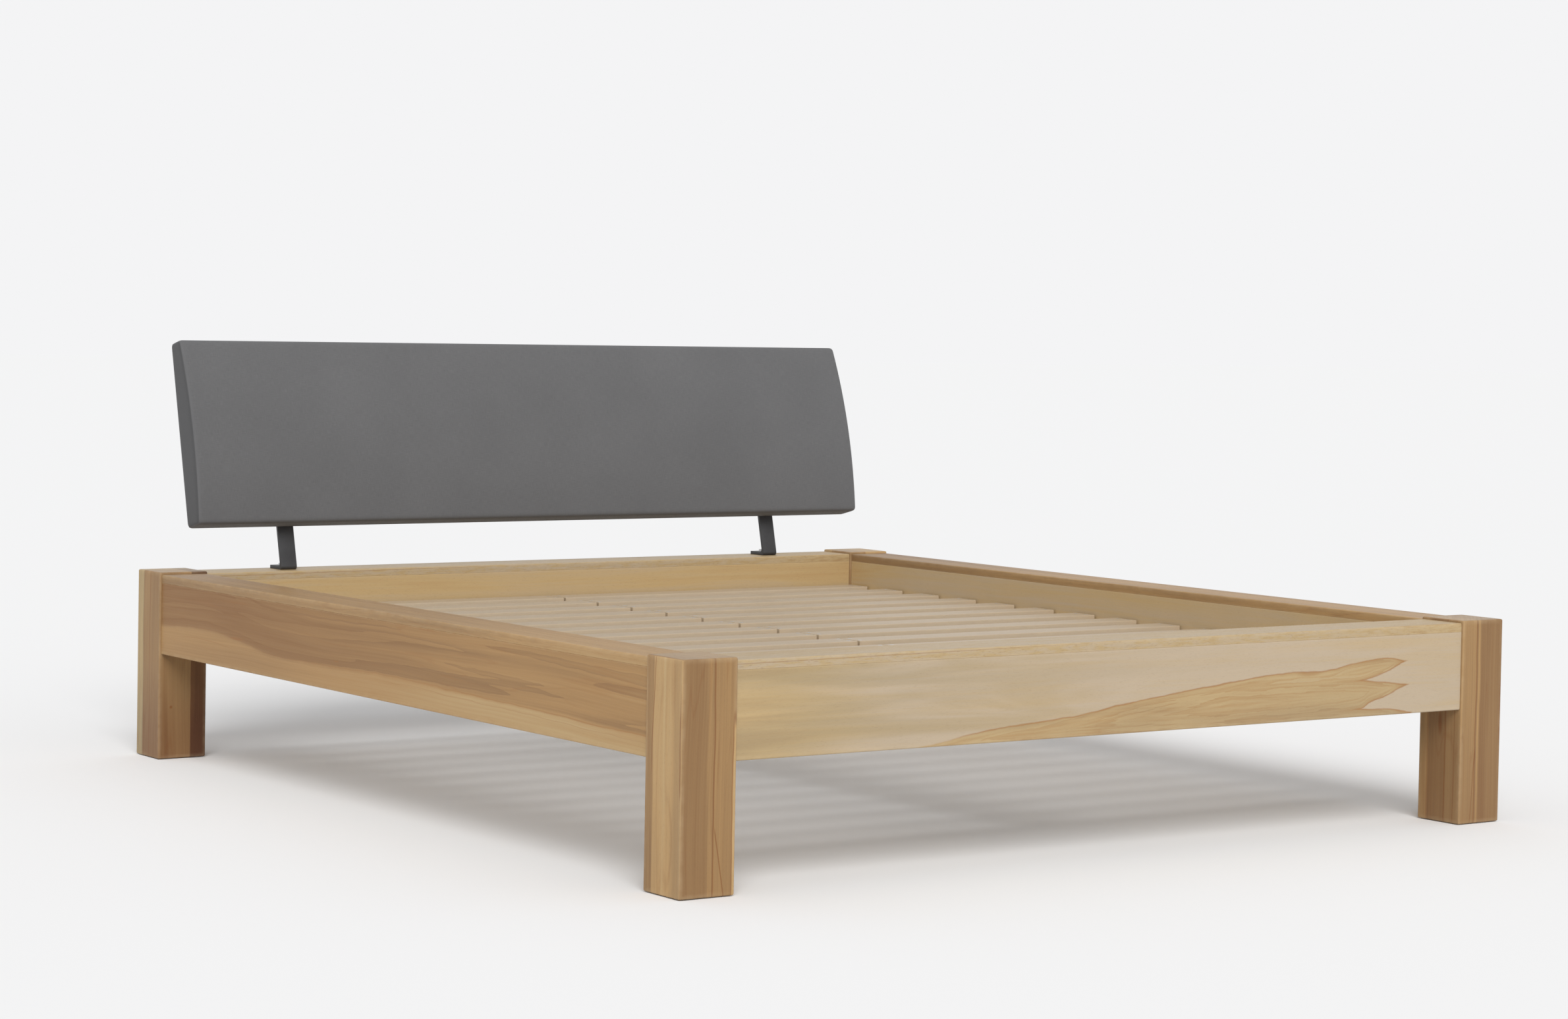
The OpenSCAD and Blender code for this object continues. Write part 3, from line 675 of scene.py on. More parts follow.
def circle(steps):
    """Even angles round a circle."""
    return [2 * math.pi * i / steps for i in range(steps)]


def polar(radius, angle):
    """A place in a plane, from its distance to the middle and its angle."""
    return radius * math.cos(angle), radius * math.sin(angle)


def wear_and_highlight_band(radius):
    """How far the band of wear and painted highlight runs in past an edge of this radius."""
    return SHOULDER * (1.0 if radius > ROUNDED_FROM else NARROW)


def rounded_outline(low, high, radii, steps=4):
    """A rectangle's outline in two axes, as (across, up, wear and painted highlight); points past each corner
    end that band.
    radii are those of the corners at low-low, high-low, high-high and low-high."""
    corners = [
        (low[0], low[1], 1, 1, math.pi), (high[0], low[1], -1, 1, 1.5 * math.pi),
        (high[0], high[1], -1, -1, 0.0), (low[0], high[1], 1, -1, 0.5 * math.pi),
    ]
    outline = []
    for (x, y, sx, sy, start), radius in zip(corners, radii):
        count = steps if radius > ROUNDED_FROM else 1
        shoulder = radius + wear_and_highlight_band(radius)
        arc = []
        for i in range(count + 1):
            across, up = polar(radius, start + (math.pi / 2) * i / count)
            arc.append((x + sx * radius + across, y + sy * radius + up, 1.0))
        ends = []
        for spot in (arc[0], arc[-1]):
            across = sx * shoulder if abs(spot[1] - y) < 1e-9 else 0.0
            up = sy * shoulder if abs(spot[0] - x) < 1e-9 else 0.0
            ends.append((x + across, y + up, 0.0))
        outline += [ends[0], *arc, ends[1]]
    return outline


def end_stations(low, high, ease, steps):
    """Cuts along a board, close together at its eased ends: (place, how far it is drawn in, how much wear and
    painted highlight).
    """
    count = steps if ease > ROUNDED_FROM else 1
    turns = [(math.pi / 2) * i / count for i in range(count, -1, -1)]
    stations = [(ease * (1 - math.sin(turn)), ease * (1 - math.cos(turn)), 1.0) for turn in turns]
    stations.append((ease + wear_and_highlight_band(ease), 0.0, 0.0))
    near = [(low + along, inset, wear_and_highlight) for along, inset, wear_and_highlight in stations]
    return near + [(high - along, inset, wear_and_highlight) for along, inset, wear_and_highlight in reversed(stations)]


def eased_board(low, high, axis, radii, end_ease, stock, steps, name):
    """A board from low to high with the grain along axis, its outline rounded by radii, its ends by end_ease.
    Its grain, arris, end and stock attributes tell the finish how the timber lies."""
    a, b = [n for n in range(3) if n != axis]
    outline = rounded_outline((low[a], low[b]), (high[a], high[b]), radii, steps)
    ca, cb = (low[a] + high[a]) / 2, (low[b] + high[b]) / 2
    half_a, half_b = (high[a] - low[a]) / 2, (high[b] - low[b]) / 2
    made = bmesh.new()
    arris = made.verts.layers.float.new("arris")
    end = made.verts.layers.float.new("end")
    grain = made.verts.layers.float_vector.new("grain")
    stock_layer = made.verts.layers.float.new("stock")

    def point(along, p, q, wear_and_highlight, cut):
        where = [0.0, 0.0, 0.0]
        where[axis], where[a], where[b] = along, p, q
        vert = made.verts.new(where)
        vert[arris], vert[end], vert[stock_layer] = wear_and_highlight, cut, stock
        vert[grain] = Vector((along - low[axis], p - ca, q - cb))
        return vert

    def loop(along, inset, wear_and_highlight, cut=0.0, shrink=0.0):
        scale_a = (half_a - inset - shrink) / half_a
        scale_b = (half_b - inset - shrink) / half_b
        return [point(along, ca + (p - ca) * scale_a, cb + (q - cb) * scale_b, max(wear_and_highlight, edge), cut)
                for p, q, edge in outline]

    rings = end_stations(low[axis], high[axis], end_ease, steps)
    loops = [loop(*ring) for ring in rings]
    for first, second in zip(loops, loops[1:]):
        join_loops(made, first, second)
    cut_band = SHOULDER * (0.6 if end_ease > ROUNDED_FROM else 0.1)
    for (along, inset, _), edge_loop in ((rings[0], loops[0]), (rings[-1], loops[-1])):
        inner = loop(along, inset, 0.0, 1.0, cut_band)
        for vert in inner:
            vert[arris] = 0.0
        join_loops(made, edge_loop, inner)
        made.faces.new(inner)
    bmesh.ops.recalc_face_normals(made, faces=made.faces)
    return soften_normals(smooth_mesh(made, name, 40))


def soften_normals(mesh):
    """Lets the wide faces keep their flat shading, so only the rounded edges turn the light."""
    carrier = put("carrier", mesh)
    weighted = carrier.modifiers.new("weighted", "WEIGHTED_NORMAL")
    weighted.keep_sharp = True
    return settle(carrier, mesh.name)


def timber_board(node, axis, radii, end_ease, finish, slot, stock=0.0):
    """The eased board that stands for a CAD board of the same size."""
    mesh = eased_board(*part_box(node), axis, radii, end_ease, stock, 4, node)
    new_piece(node + "_eased", mesh, "frame", node, finish=finish, slot=slot)


# ---------------------------------------------------------------- repeated pieces


class Tree:
    """A geometry tree with named inputs for what it takes."""

    def __init__(self, name):
        self.group = bpy.data.node_groups.new(name, "GeometryNodeTree")
        self.sockets = {}
        self.group.interface.new_socket("Geometry", in_out="OUTPUT", socket_type="NodeSocketGeometry")
        self.input_socket("Geometry", "NodeSocketGeometry")
        self.entry = self.group.nodes.new("NodeGroupInput")
        self.exit = self.group.nodes.new("NodeGroupOutput")

    def input_socket(self, name, kind):
        made = self.group.interface.new_socket(name, in_out="INPUT", socket_type=kind)
        self.sockets[name] = made.identifier

    def node(self, kind, **settings):
        made = self.group.nodes.new(kind)
        for key, value in settings.items():
            setattr(made, key, value)
        return made

    def link(self, source, target):
        self.group.links.new(source, target)


def repeat_tree(name):
    """Instances of one part on the points of the carrier, each turned by its own attribute and given
    a stock number of its own, by which its finish varies."""
    tree = Tree(name)
    for label, kind in (("Part", "NodeSocketObject"), ("Finish", "NodeSocketMaterial"),
                        ("Tone seed", "NodeSocketInt"), ("Tone spread", "NodeSocketFloat")):
        tree.input_socket(label, kind)
    entry = tree.entry.outputs
    part = tree.node("GeometryNodeObjectInfo", transform_space="ORIGINAL")
    tree.link(entry["Part"], part.inputs["Object"])
    turn = tree.node("GeometryNodeInputNamedAttribute", data_type="FLOAT_VECTOR")
    turn.inputs["Name"].default_value = "turn"
    spin = tree.node("FunctionNodeEulerToRotation")
    tree.link(turn.outputs["Attribute"], spin.inputs[0])
    place = tree.node("GeometryNodeInstanceOnPoints")
    tree.link(entry["Geometry"], place.inputs["Points"])
    tree.link(part.outputs["Geometry"], place.inputs["Instance"])
    tree.link(spin.outputs[0], place.inputs["Rotation"])
    chance = tree.node("FunctionNodeRandomValue", data_type="FLOAT")
    tree.link(entry["Tone seed"], chance.inputs["Seed"])
    tree.link(entry["Tone spread"], chance.inputs[3])
    keep = tree.node("GeometryNodeStoreNamedAttribute", data_type="FLOAT", domain="INSTANCE")
    keep.inputs["Name"].default_value = "stock"
    tree.link(place.outputs["Instances"], keep.inputs["Geometry"])
    tree.link(chance.outputs[1], keep.inputs["Value"])
    real = tree.node("GeometryNodeRealizeInstances")
    tree.link(keep.outputs["Geometry"], real.inputs["Geometry"])
    coat = tree.node("GeometryNodeSetMaterial")
    tree.link(real.outputs["Geometry"], coat.inputs["Geometry"])
    tree.link(entry["Finish"], coat.inputs["Material"])
    tree.link(coat.outputs["Geometry"], tree.exit.inputs["Geometry"])
    return tree


REPEAT = repeat_tree("repeat_a_part")


def repeated(name, part_mesh, places, finish, seed=1):
    """One mesh with the part at each (position, turn) of places."""
    carrier_mesh = bpy.data.meshes.new("places_" + name)
    carrier_mesh.from_pydata([tuple(where) for where, _ in places], [], [])
    turns = carrier_mesh.attributes.new("turn", "FLOAT_VECTOR", "POINT")
    turns.data.foreach_set("vector", [value for _, turn in places for value in turn])
    part = put("part_" + name, part_mesh)
    carrier = put("carrier_" + name, carrier_mesh)
    modifier = carrier.modifiers.new("repeat", "NODES")
    modifier.node_group = REPEAT.group
    for label, value in (("Part", part), ("Finish", finish), ("Tone seed", seed), ("Tone spread", 1.0)):
        modifier[REPEAT.sockets[label]] = value
    mesh = settle(carrier, name)
    bpy.data.objects.remove(part)
    return mesh


def turned(profile, steps):
    """A turned part: profile is (radius, height) from its lower middle to its upper middle."""
    made = bmesh.new()
    rings = []
    for radius, height in profile:
        if radius == 0.0:
            rings.append([made.verts.new((0.0, 0.0, height))])
        else:
            rings.append([made.verts.new((*polar(radius, angle), height)) for angle in circle(steps)])
    for low, high in zip(rings, rings[1:]):
        if len(low) > 1 and len(high) > 1:
            join_loops(made, low, high)
            continue
        for i in range(steps):
            j = (i + 1) % steps
            made.faces.new((low[0], high[j], high[i]) if len(low) == 1 else (low[i], low[j], high[0]))
    return made


def rim_at(made, height):
    """The ring of points at a height, in order round it."""
    rim = [vert for vert in made.verts if abs(vert.co.z - height) < 1e-7]
    return sorted(rim, key=lambda vert: math.atan2(vert.co.y, vert.co.x) % (2 * math.pi))


def sink(made, outline, height, depth, taper=1.0):
    """Closes an open head with a recess of the given outline."""
    rim = rim_at(made, height)
    top = [made.verts.new((x, y, height)) for x, y in outline]
    floor = [made.verts.new((x * taper, y * taper, height - depth)) for x, y in outline]
    join_loops(made, rim, top)
    join_loops(made, top, floor)
    made.faces.new(floor)


def cross_outline(arm, half_w):
    """A cross of four arms as 16 points: the middle and corners of each arm's end, and the four notches."""
    spots = []
    for i, angle in enumerate(circle(16)):
        side = {1: 1, 3: -1}.get(i % 4, 0)
        if side:
            near = angle - side * math.pi / 8
            x = arm * math.cos(near) - half_w * side * math.sin(near)
            y = arm * math.sin(near) + half_w * side * math.cos(near)
            spots.append((x, y))
        else:
            spots.append(polar(math.hypot(half_w, half_w) if i % 4 else arm, angle))
    return spots


def hexagon(flat, angle):
    """How far out a hexagon reaches at an angle; flat is the distance to the middle of its sides."""
    return flat / math.cos(((angle + math.pi / 6) % (math.pi / 3)) - math.pi / 6)


def wood_screw_mesh(length):
    """A countersunk wood screw, flush at Z 0, with a cross recess in its head."""
    profile = [
        (0.0, -length), (SCREW_SHANK * 0.8, -length + 0.004), (SCREW_SHANK, -length + 0.005),
        (SCREW_SHANK, -SCREW_HEAD + SCREW_SHANK), (SCREW_HEAD, -0.0003), (SCREW_HEAD, 0.0),
        (SCREW_HEAD * 0.8, PROUD),
    ]
    made = turned(profile, 16)
    cross = cross_outline(arm=SCREW_HEAD * 0.62, half_w=SCREW_HEAD * 0.13)
    sink(made, cross, height=PROUD, depth=0.0017, taper=0.55)
    return finish_mesh(made, "wood_screw", 30.0)


def hex_head_mesh(width, height, shank_r, shank_l):
    """A hexagon head with its chamfered crown, on its shank; Z 0 is the face that it clamps."""
    made = bmesh.new()
    angles = circle(24)
    corner = width / 2 / math.cos(math.pi / 6)
    rings = []
    for z, cap in ((0.0, corner), (height * 0.82, corner), (height, width / 2 * 0.96)):
        reaches = [min(hexagon(width / 2, angle), cap) for angle in angles]
        rings.append([made.verts.new((*polar(reach, angle), z)) for reach, angle in zip(reaches, angles)])
    join_loops(made, rings[0], rings[1])
    join_loops(made, rings[1], rings[2])
    made.faces.new(rings[2])
    shank = [[made.verts.new((*polar(shank_r, angle), z)) for angle in angles] for z in (0.0, -shank_l)]
    join_loops(made, shank[0], rings[0])
    join_loops(made, shank[0], shank[1])
    made.faces.new(shank[1])
    return finish_mesh(made, "hex_head", 30.0)


def pan_head_mesh(head_r, head_h, shank_r, shank_l):
    """A low round bolt head with a hexagon socket; Z 0 is the face that it clamps."""
    socket_r, socket_d = 0.0023, 0.0024
    profile = [
        (0.0, -shank_l), (shank_r, -shank_l), (shank_r, 0.0), (head_r, 0.0), (head_r, head_h * 0.35),
        (head_r * 0.93, head_h * 0.7), (head_r * 0.75, head_h * 0.93), (head_r * 0.55, head_h),
    ]
    angles = circle(24)
    made = turned(profile, len(angles))
    sink(made, [polar(hexagon(socket_r, angle), angle) for angle in angles], head_h, socket_d)
    return finish_mesh(made, "pan_head", 30.0)


def staple_mesh():
    """An upholstery staple, Z up out of the cloth: its crown lies on the cloth, its legs go in."""
    half, leg, bend = STAPLE_W / 2, 0.004, 0.0006
    path = [(-half, -leg), (-half, 0.0003), (-half + bend, 0.0009), (half - bend, 0.0009), (half, 0.0003),
            (half, -leg)]
    made = bmesh.new()
    rings = []
    for i, (x, z) in enumerate(path):
        before, after = Vector(path[max(i - 1, 0)]), Vector(path[min(i + 1, len(path) - 1)])
        run = (after - before).normalized()
        out = Vector((-run.y, run.x)) * (WIRE * 0.32)
        rings.append([made.verts.new((x + out.x * s, WIRE / 2 * t, z + out.y * s))
                      for s, t in ((1, 1), (1, -1), (-1, -1), (-1, 1))])
    for low, high in zip(rings, rings[1:]):
        join_loops(made, low, high)
    made.faces.new(rings[0])
    made.faces.new(rings[-1])
    return finish_mesh(made, "staple", 50.0)


# ---------------------------------------------------------------- legs and rails


def make_legs():
    """The four legs, each glued up from staves of its own."""
    staves = {
        "leg_foot_left": near_leg_staves, "leg_foot_right": right_leg_staves,
        "leg_head_left": head_left_leg_staves, "leg_head_right": head_right_leg_staves,
    }
    for node, paint_staves in staves.items():
        stain = GREY_OLIVE if node == "leg_head_left" else PALE_GOLD
        finish = leg_timber(node + "_timber", node, paint_staves, stain)
        timber_board(node, 2, (ARRIS,) * 4, ARRIS, finish, "oiled_timber")


def make_rails():
    """Outer boards, caps and linings. Only the edges that a hand can reach are rounded."""
    faces = {
        "foot": foot_face_timber(),
        "head": board_timber("head_board_timber", 0.36, fleck=0.4, spread=0.1),
        "left": side_face_timber("left_board_timber", -1),
        "right": side_face_timber("right_board_timber", 1),
    }
    caps = {
        "foot": cap_timber("end_cap_timber", "XYZ", tone=0.06, lively=1.0),
        "left": cap_timber("side_cap_timber", "YXZ", tone=0.46, lively=0.25),
    }
    caps["head"], caps["right"] = caps["foot"], caps["left"]
    linings = board_timber("lining_timber", 0.15, fleck=0.4, spread=0.2)
    tight = JOINT_EASE
    at_low, at_high = (ARRIS, tight, tight, tight), (tight, ARRIS, tight, tight)
    at_top = (tight, tight, ARRIS, ARRIS)
    for number, side in enumerate(("foot", "right", "head", "left")):
        axis = 0 if side in ("foot", "head") else 1
        outer, inner = (at_low, at_high) if side in ("foot", "left") else (at_high, at_low)
        for part, radii, finish, stock in (
            ("face", outer, faces[side], 0.31 + number * 0.2),
            ("cap", at_top, caps[side], 0.0),
            ("lining", inner, linings, 0.17 + number * 0.23),
        ):
            timber_board(f"{side}_rail_{part}", axis, radii, tight, finish, "oiled_timber", stock)


def make_ledges(finish, screw_finish):
    """The ledges inside the side rails, each with a row of screws."""
    places = []
    for side, sign in (("left", 1), ("right", -1)):
        low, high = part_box(side + "_ledge")
        towards_bed = (JOINT_EASE, ARRIS, ARRIS, JOINT_EASE)
        radii = towards_bed if sign > 0 else (ARRIS, JOINT_EASE, JOINT_EASE, ARRIS)
        timber_board(side + "_ledge", 1, radii, JOINT_EASE, finish, "inner_timber", 0.4 + 0.1 * sign)
        step = (high.y - low.y) / LEDGE_SCREWS
        inner = high.x if sign > 0 else low.x
        for i in range(LEDGE_SCREWS):
            where = (inner + sign * 2 * PROUD, low.y + step * (i + 0.5), (low.z + high.z) / 2)
            places.append((where, (0.3 * i, math.radians(90) * sign, 0.0)))
    mesh = repeated("ledge_screws", wood_screw_mesh(SCREW_L), places, screw_finish)
    new_piece("ledge_screws_crossed", mesh, "frame", "ledge_screws", slot="zinc_steel")


def make_glides(finish):
    """Pressed felt pads with a soft rim, let into the legs' ends."""
    low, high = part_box("felt_glides")
    thick = high.z - low.z
    profile = [(0.0, 0.0), (GLIDE_R - 0.0022, 0.0), (GLIDE_R - 0.0006, 0.0006), (GLIDE_R, 0.0014),
               (GLIDE_R, thick - 0.0004), (GLIDE_R - 0.0004, thick), (0.0, thick)]
    pad = finish_mesh(turned(profile, 40), "glide", 35.0)
    places = [((x, y, low.z), (0.0, 0.0, 0.0))
              for x in (low.x + GLIDE_R, high.x - GLIDE_R) for y in (low.y + GLIDE_R, high.y - GLIDE_R)]
    mesh = repeated("felt_glides", pad, places, finish)
    new_piece("felt_glides_soft", mesh, "frame", "felt_glides", slot="felt")


# ---------------------------------------------------------------- slatted bases


def make_slats(side, body, finish, seed):
    """A base's row of slats. Gives the places of their middles along the bed."""
    node = side + "_base_slats"
    low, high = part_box(node)
    centre, half = (low.x + high.x) / 2, (high.x - low.x) / 2
    slat = eased_board(Vector((-half, -SLAT_W / 2, low.z)), Vector((half, SLAT_W / 2, high.z)), 0,
                       (SLAT_EASE,) * 4, JOINT_EASE, 0.0, 2, "slat")
    pitch = (high.y - low.y - SLAT_W) / (SLAT_N - 1)
    rows = [low.y + SLAT_W / 2 + pitch * i for i in range(SLAT_N)]
    mesh = repeated(body + "_slats", slat, [((centre, y, 0.0), (0.0, 0.0, 0.0)) for y in rows], finish, seed)
    new_piece(node + "_eased", mesh, body, node, slot="slat_timber")
    return rows


def make_base_screws(side, body, rows, finish, seed):
    """Two screws through each end of each slat, turned as they happened to stop."""
    low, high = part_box(side + "_base_slats")
    run_low, run_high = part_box(side + "_base_outer_runner")
    runner_w = run_high.x - run_low.x
    columns = (low.x + runner_w / 2, high.x - runner_w / 2)
    chance = random.Random(seed)
    places = [((x, y + step * SCREW_STEP / 2, high.z + PROUD), (0.0, 0.0, chance.uniform(0.0, 1.5)))
              for x in columns for y in rows for step in (-1, 1)]
    node = side + "_base_screws"
    mesh = repeated(node, wood_screw_mesh(SCREW_L), places, finish)
    new_piece(node + "_crossed", mesh, body, node, slot="zinc_steel")


def make_bases(finish, screw_finish):
    """The two bases that lift out whole: slats, two runners, and the screws."""
    for number, side in enumerate(("left", "right")):
        body = side + "_slatted_base"
        rows = make_slats(side, body, finish, SLAT_SEED + number)
        for runner in ("outer", "inner"):
            node = f"{side}_base_{runner}_runner"
            stock = 0.23 * number + 0.11
            mesh = eased_board(*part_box(node), 1, (RUNNER_EASE,) * 4, JOINT_EASE, stock, 2, node)
            new_piece(node + "_eased", mesh, body, node, finish=finish, slot="slat_timber")
        make_base_screws(side, body, rows, screw_finish, SCREW_SEED + number)


# ---------------------------------------------------------------- steel


def rounded_tube(low, high):
    """A square tube along Y with rolled corners, open at both ends."""
    made = bmesh.new()

    def outline(inset, bend):
        bottom, top = (low.x + inset, low.z + inset), (high.x - inset, high.z - inset)
        return [(x, z) for x, z, _ in rounded_outline(bottom, top, (bend,) * 4, 5)]

    outer, inner = outline(0.0, BEAM_CORNER), outline(BEAM_WALL, max(BEAM_CORNER - BEAM_WALL, 0.0016))
    loops = []
    for spots, y in ((inner, low.y), (outer, low.y), (outer, high.y), (inner, high.y)):
        loops.append([made.verts.new((x, y, z)) for x, z in spots])
    for first, second in zip(loops, loops[1:] + loops[:1]):
        join_loops(made, first, second)
    return finish_mesh(made, "beam", 40.0)


def round_corner(before, corner, after, radius, steps):
    """Points along an arc that turns from before to after at the corner."""
    a, b = (before - corner).normalized(), (after - corner).normalized()
    half = a.angle(b) / 2
    reach = radius / math.tan(half)
    start, end = corner + a * reach, corner + b * reach
    centre = corner + (a + b).normalized() * (radius / math.sin(half))
    spokes = [(start - centre).lerp(end - centre, i / steps).normalized() for i in range(steps + 1)]
    return [centre + spoke * radius for spoke in spokes]


def bent_bar(x, width, mount_y, mount_z):
    """One headboard bracket: a foot along the rail and a leaning upright, with a rolled bend."""
    rise = BRACKET_T * (1 + math.sin(LEAN)) / math.cos(LEAN)
    up = Vector((math.sin(LEAN), math.cos(LEAN)))
    back = Vector((math.cos(LEAN), -math.sin(LEAN)))
    outline = [Vector((BRACKET_FOOT, 0.0)), Vector((BRACKET_FOOT, BRACKET_T))]
    corner = Vector((back.x * BRACKET_T + up.x * rise, BRACKET_T))
    outline += round_corner(Vector((BRACKET_FOOT, BRACKET_T)), corner, corner + up * 0.1, BRACKET_BEND, 5)
    outline += [back * BRACKET_T + up * BRACKET_UP, up * BRACKET_UP]
    outline += round_corner(up * 0.1, Vector((0.0, 0.0)), Vector((0.1, 0.0)), BRACKET_BEND, 6)
    made = bmesh.new()
    left = [made.verts.new((x - width / 2, mount_y + p.x, mount_z + p.y)) for p in outline]
    right = [made.verts.new((x + width / 2, mount_y + p.x, mount_z + p.y)) for p in outline]
    made.faces.new(left)
    made.faces.new(list(reversed(right)))
    join_loops(made, left, right)
    bmesh.ops.recalc_face_normals(made, faces=made.faces)
    sharp = [e for e in made.edges if len(e.link_faces) == 2 and e.calc_face_angle() > math.radians(50)]
    bmesh.ops.bevel(made, geom=sharp, offset=BRACKET_ARRIS, segments=2, profile=0.5, affect="EDGES")
    return finish_mesh(made, "bracket", 40.0)


def make_steel(coat, zinc):
    """The centre beam, the two brackets, the screws in their feet and the bolts in their uprights."""
    beam = rounded_tube(*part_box("centre_beam"))
    new_piece("centre_beam_rolled", beam, "frame", "centre_beam", finish=coat, slot="dark_steel")
    lags, bolts = [], []
    chance = random.Random(LAG_SEED)
    for side in ("left", "right"):
        node = "bracket_" + side
        low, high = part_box(node)
        x = (low.x + high.x) / 2
        mesh = bent_bar(x, high.x - low.x, low.y, low.z)
        new_piece(node + "_bent", mesh, "frame", node, finish=coat, slot="dark_steel")
        for y in FOOT_SCREWS:
            lags.append(((x, low.y + y, low.z + BRACKET_T), (0.0, 0.0, chance.uniform(0.0, 1.0))))
        for up in PANEL_BOLTS:
            y = low.y + up * math.sin(LEAN) + BRACKET_T * math.cos(LEAN)
            z = low.z + up * math.cos(LEAN) - BRACKET_T * math.sin(LEAN)
            bolts.append(((x, y, z), (math.radians(-90) - LEAN, 0.0, 0.0)))
    lag = hex_head_mesh(width=0.013, height=0.0053, shank_r=0.004, shank_l=0.076)
    bolt = pan_head_mesh(head_r=0.0055, head_h=0.0035, shank_r=0.003, shank_l=0.0245)
    for node, shape, part, places in (
        ("bracket_foot_screws", "hex", lag, lags), ("panel_bolts", "round", bolt, bolts),
    ):
        mesh = repeated(node, part, places, zinc)
        new_piece(f"{node}_{shape}", mesh, "frame", node, slot="zinc_steel")


# ---------------------------------------------------------------- headboard


def pad_thickness(u):
    """The pad's depth at u, from 0 at its lower edge to 1 at its upper edge."""
    return PAD_BOTTOM_T + (PAD_TOP_T - PAD_BOTTOM_T) * u + 4 * PAD_CROWN * u * (1 - u)


def headboard_place():
    """Takes a point of the leaning panel, X along it, Y out of its back and Z up its slope, to its place."""
    low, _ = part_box("bracket_left")
    return Matrix.Translation((0.0, low.y, low.z)) @ Matrix.Rotation(-LEAN, 4, "X")


def even_lines(length, step, edge):
    """Places along an edge: close together where it is rounded, even between."""
    near = [0.0, edge * 0.2, edge * 0.5, edge, edge * 1.6]
    count = max(2, round((length - 2 * near[-1]) / step))
    middle = [near[-1] + (length - 2 * near[-1]) * i / count for i in range(1, count)]
    return near + middle + [length - n for n in reversed(near)]


def block_squares(ni, nj, nk):
    """The squares on the six sides of a block of ni by nj by nk cells, each as its four corners."""
    squares = []
    for i in range(ni):
        for j in range(nj):
            squares += [[(i, j, k), (i + 1, j, k), (i + 1, j + 1, k), (i, j + 1, k)] for k in (0, nk)]
    for i in range(ni):
        for k in range(nk):
            squares += [[(i, j, k), (i + 1, j, k), (i + 1, j, k + 1), (i, j, k + 1)] for j in (0, nj)]
    for j in range(nj):
        for k in range(nk):
            squares += [[(i, j, k), (i, j + 1, k), (i, j + 1, k + 1), (i, j, k + 1)] for i in (0, ni)]
    return squares


def round_off(point, width, thick, height):
    """Draws a point of a square-edged pad in to the pad's rounded edges."""
    low = Vector((-width / 2 + PAD_EDGE, 0.0, PAD_EDGE))
    high = Vector((width / 2 - PAD_EDGE, thick - PAD_EDGE, height - PAD_EDGE))
    core = Vector(tuple(min(max(point[n], low[n]), high[n]) for n in range(3)))
    away = point - core
    return core + away.normalized() * PAD_EDGE if away.length > 1e-9 else point


def end_of(number, last):
    """-1 at the first line, 1 at the last, 0 between."""
    return -1 if number == 0 else 1 if number == last else 0


def pad_mesh(width):
    """The closed cover: a bulging front, flat back and softly rounded edges, in the panel's own frame.
    Its cloth attribute is the place on the cloth, and held marks its edge at the back."""
    height = PAD_HIGH - PAD_LOW
    across = [w - width / 2 for w in even_lines(width, step=0.022, edge=PAD_EDGE)]
    upward = even_lines(height, step=0.018, edge=PAD_EDGE)
    depth = [0.0, 0.03, 0.12, 0.3, 0.5, 0.7, 0.84, 0.94, 1.0]
    last_i, last_j, last_k = len(across) - 1, len(upward) - 1, len(depth) - 1
    back_ease = 0.001
    made = bmesh.new()
    cloth = made.verts.layers.float_vector.new("cloth")
    hold = made.verts.layers.float.new("held")
    found = {}

    def vert(i, j, k):
        if (i, j, k) in found:
            return found[i, j, k]
        x, z = across[i], upward[j]
        thick = pad_thickness(z / height)
        out = thick * depth[k]
        side, rise = end_of(i, last_i), end_of(j, last_j)
        p = round_off(Vector((x, out, z)), width, thick, height)
        if k == 0:
            p.y = 0.0
            p.x -= back_ease * side
            p.z -= back_ease * rise
        made_vert = made.verts.new((p.x, -p.y, PAD_LOW + p.z))
        made_vert[cloth] = Vector((x + out * side, z + out * rise, 0.0))
        made_vert[hold] = 1.0 if k == 0 else 0.0
        found[i, j, k] = made_vert
        return made_vert

    for square in block_squares(last_i, last_j, last_k):
        made.faces.new([vert(*corner) for corner in square])
    bmesh.ops.recalc_face_normals(made, faces=made.faces)
    return smooth_mesh(made, "pad")


CLOTH_SETTINGS = {
    "vertex_group_mass": "held",
    "use_pressure": True,
    "uniform_pressure_force": 4.0,
    "quality": 6,
    "mass": 0.25,
    "tension_stiffness": 18,
    "compression_stiffness": 18,
    "bending_stiffness": 2.0,
}
SWELL_FRAMES = 20


def swell(mesh):
    """Lets the cover blow up a little over its foam as cloth, held along its back."""
    pinned = [i for i, value in enumerate(mesh.attributes["held"].data) if value.value > 0.5]
    homes = [vert.co.copy() for vert in mesh.vertices]
    cover = put("cover_in_work", mesh)
    cover.vertex_groups.new(name="held").add(pinned, 1.0, "REPLACE")
    cloth = cover.modifiers.new("cloth", "CLOTH")
    for setting, value in CLOTH_SETTINGS.items():
        setattr(cloth.settings, setting, value)
    cloth.settings.effector_weights.gravity = 0.0
    cloth.point_cache.frame_start = 1
    cloth.point_cache.frame_end = SWELL_FRAMES
    scene = bpy.context.scene
    for number in range(1, SWELL_FRAMES + 1):
        scene.frame_set(number)
    swollen = settle(cover, "swollen")
    scene.frame_set(1)
    for vert, home in zip(swollen.vertices, homes):
        move = vert.co - home
        if move.length > PAD_SWELL:
            vert.co = home + move.normalized() * PAD_SWELL
    return swollen


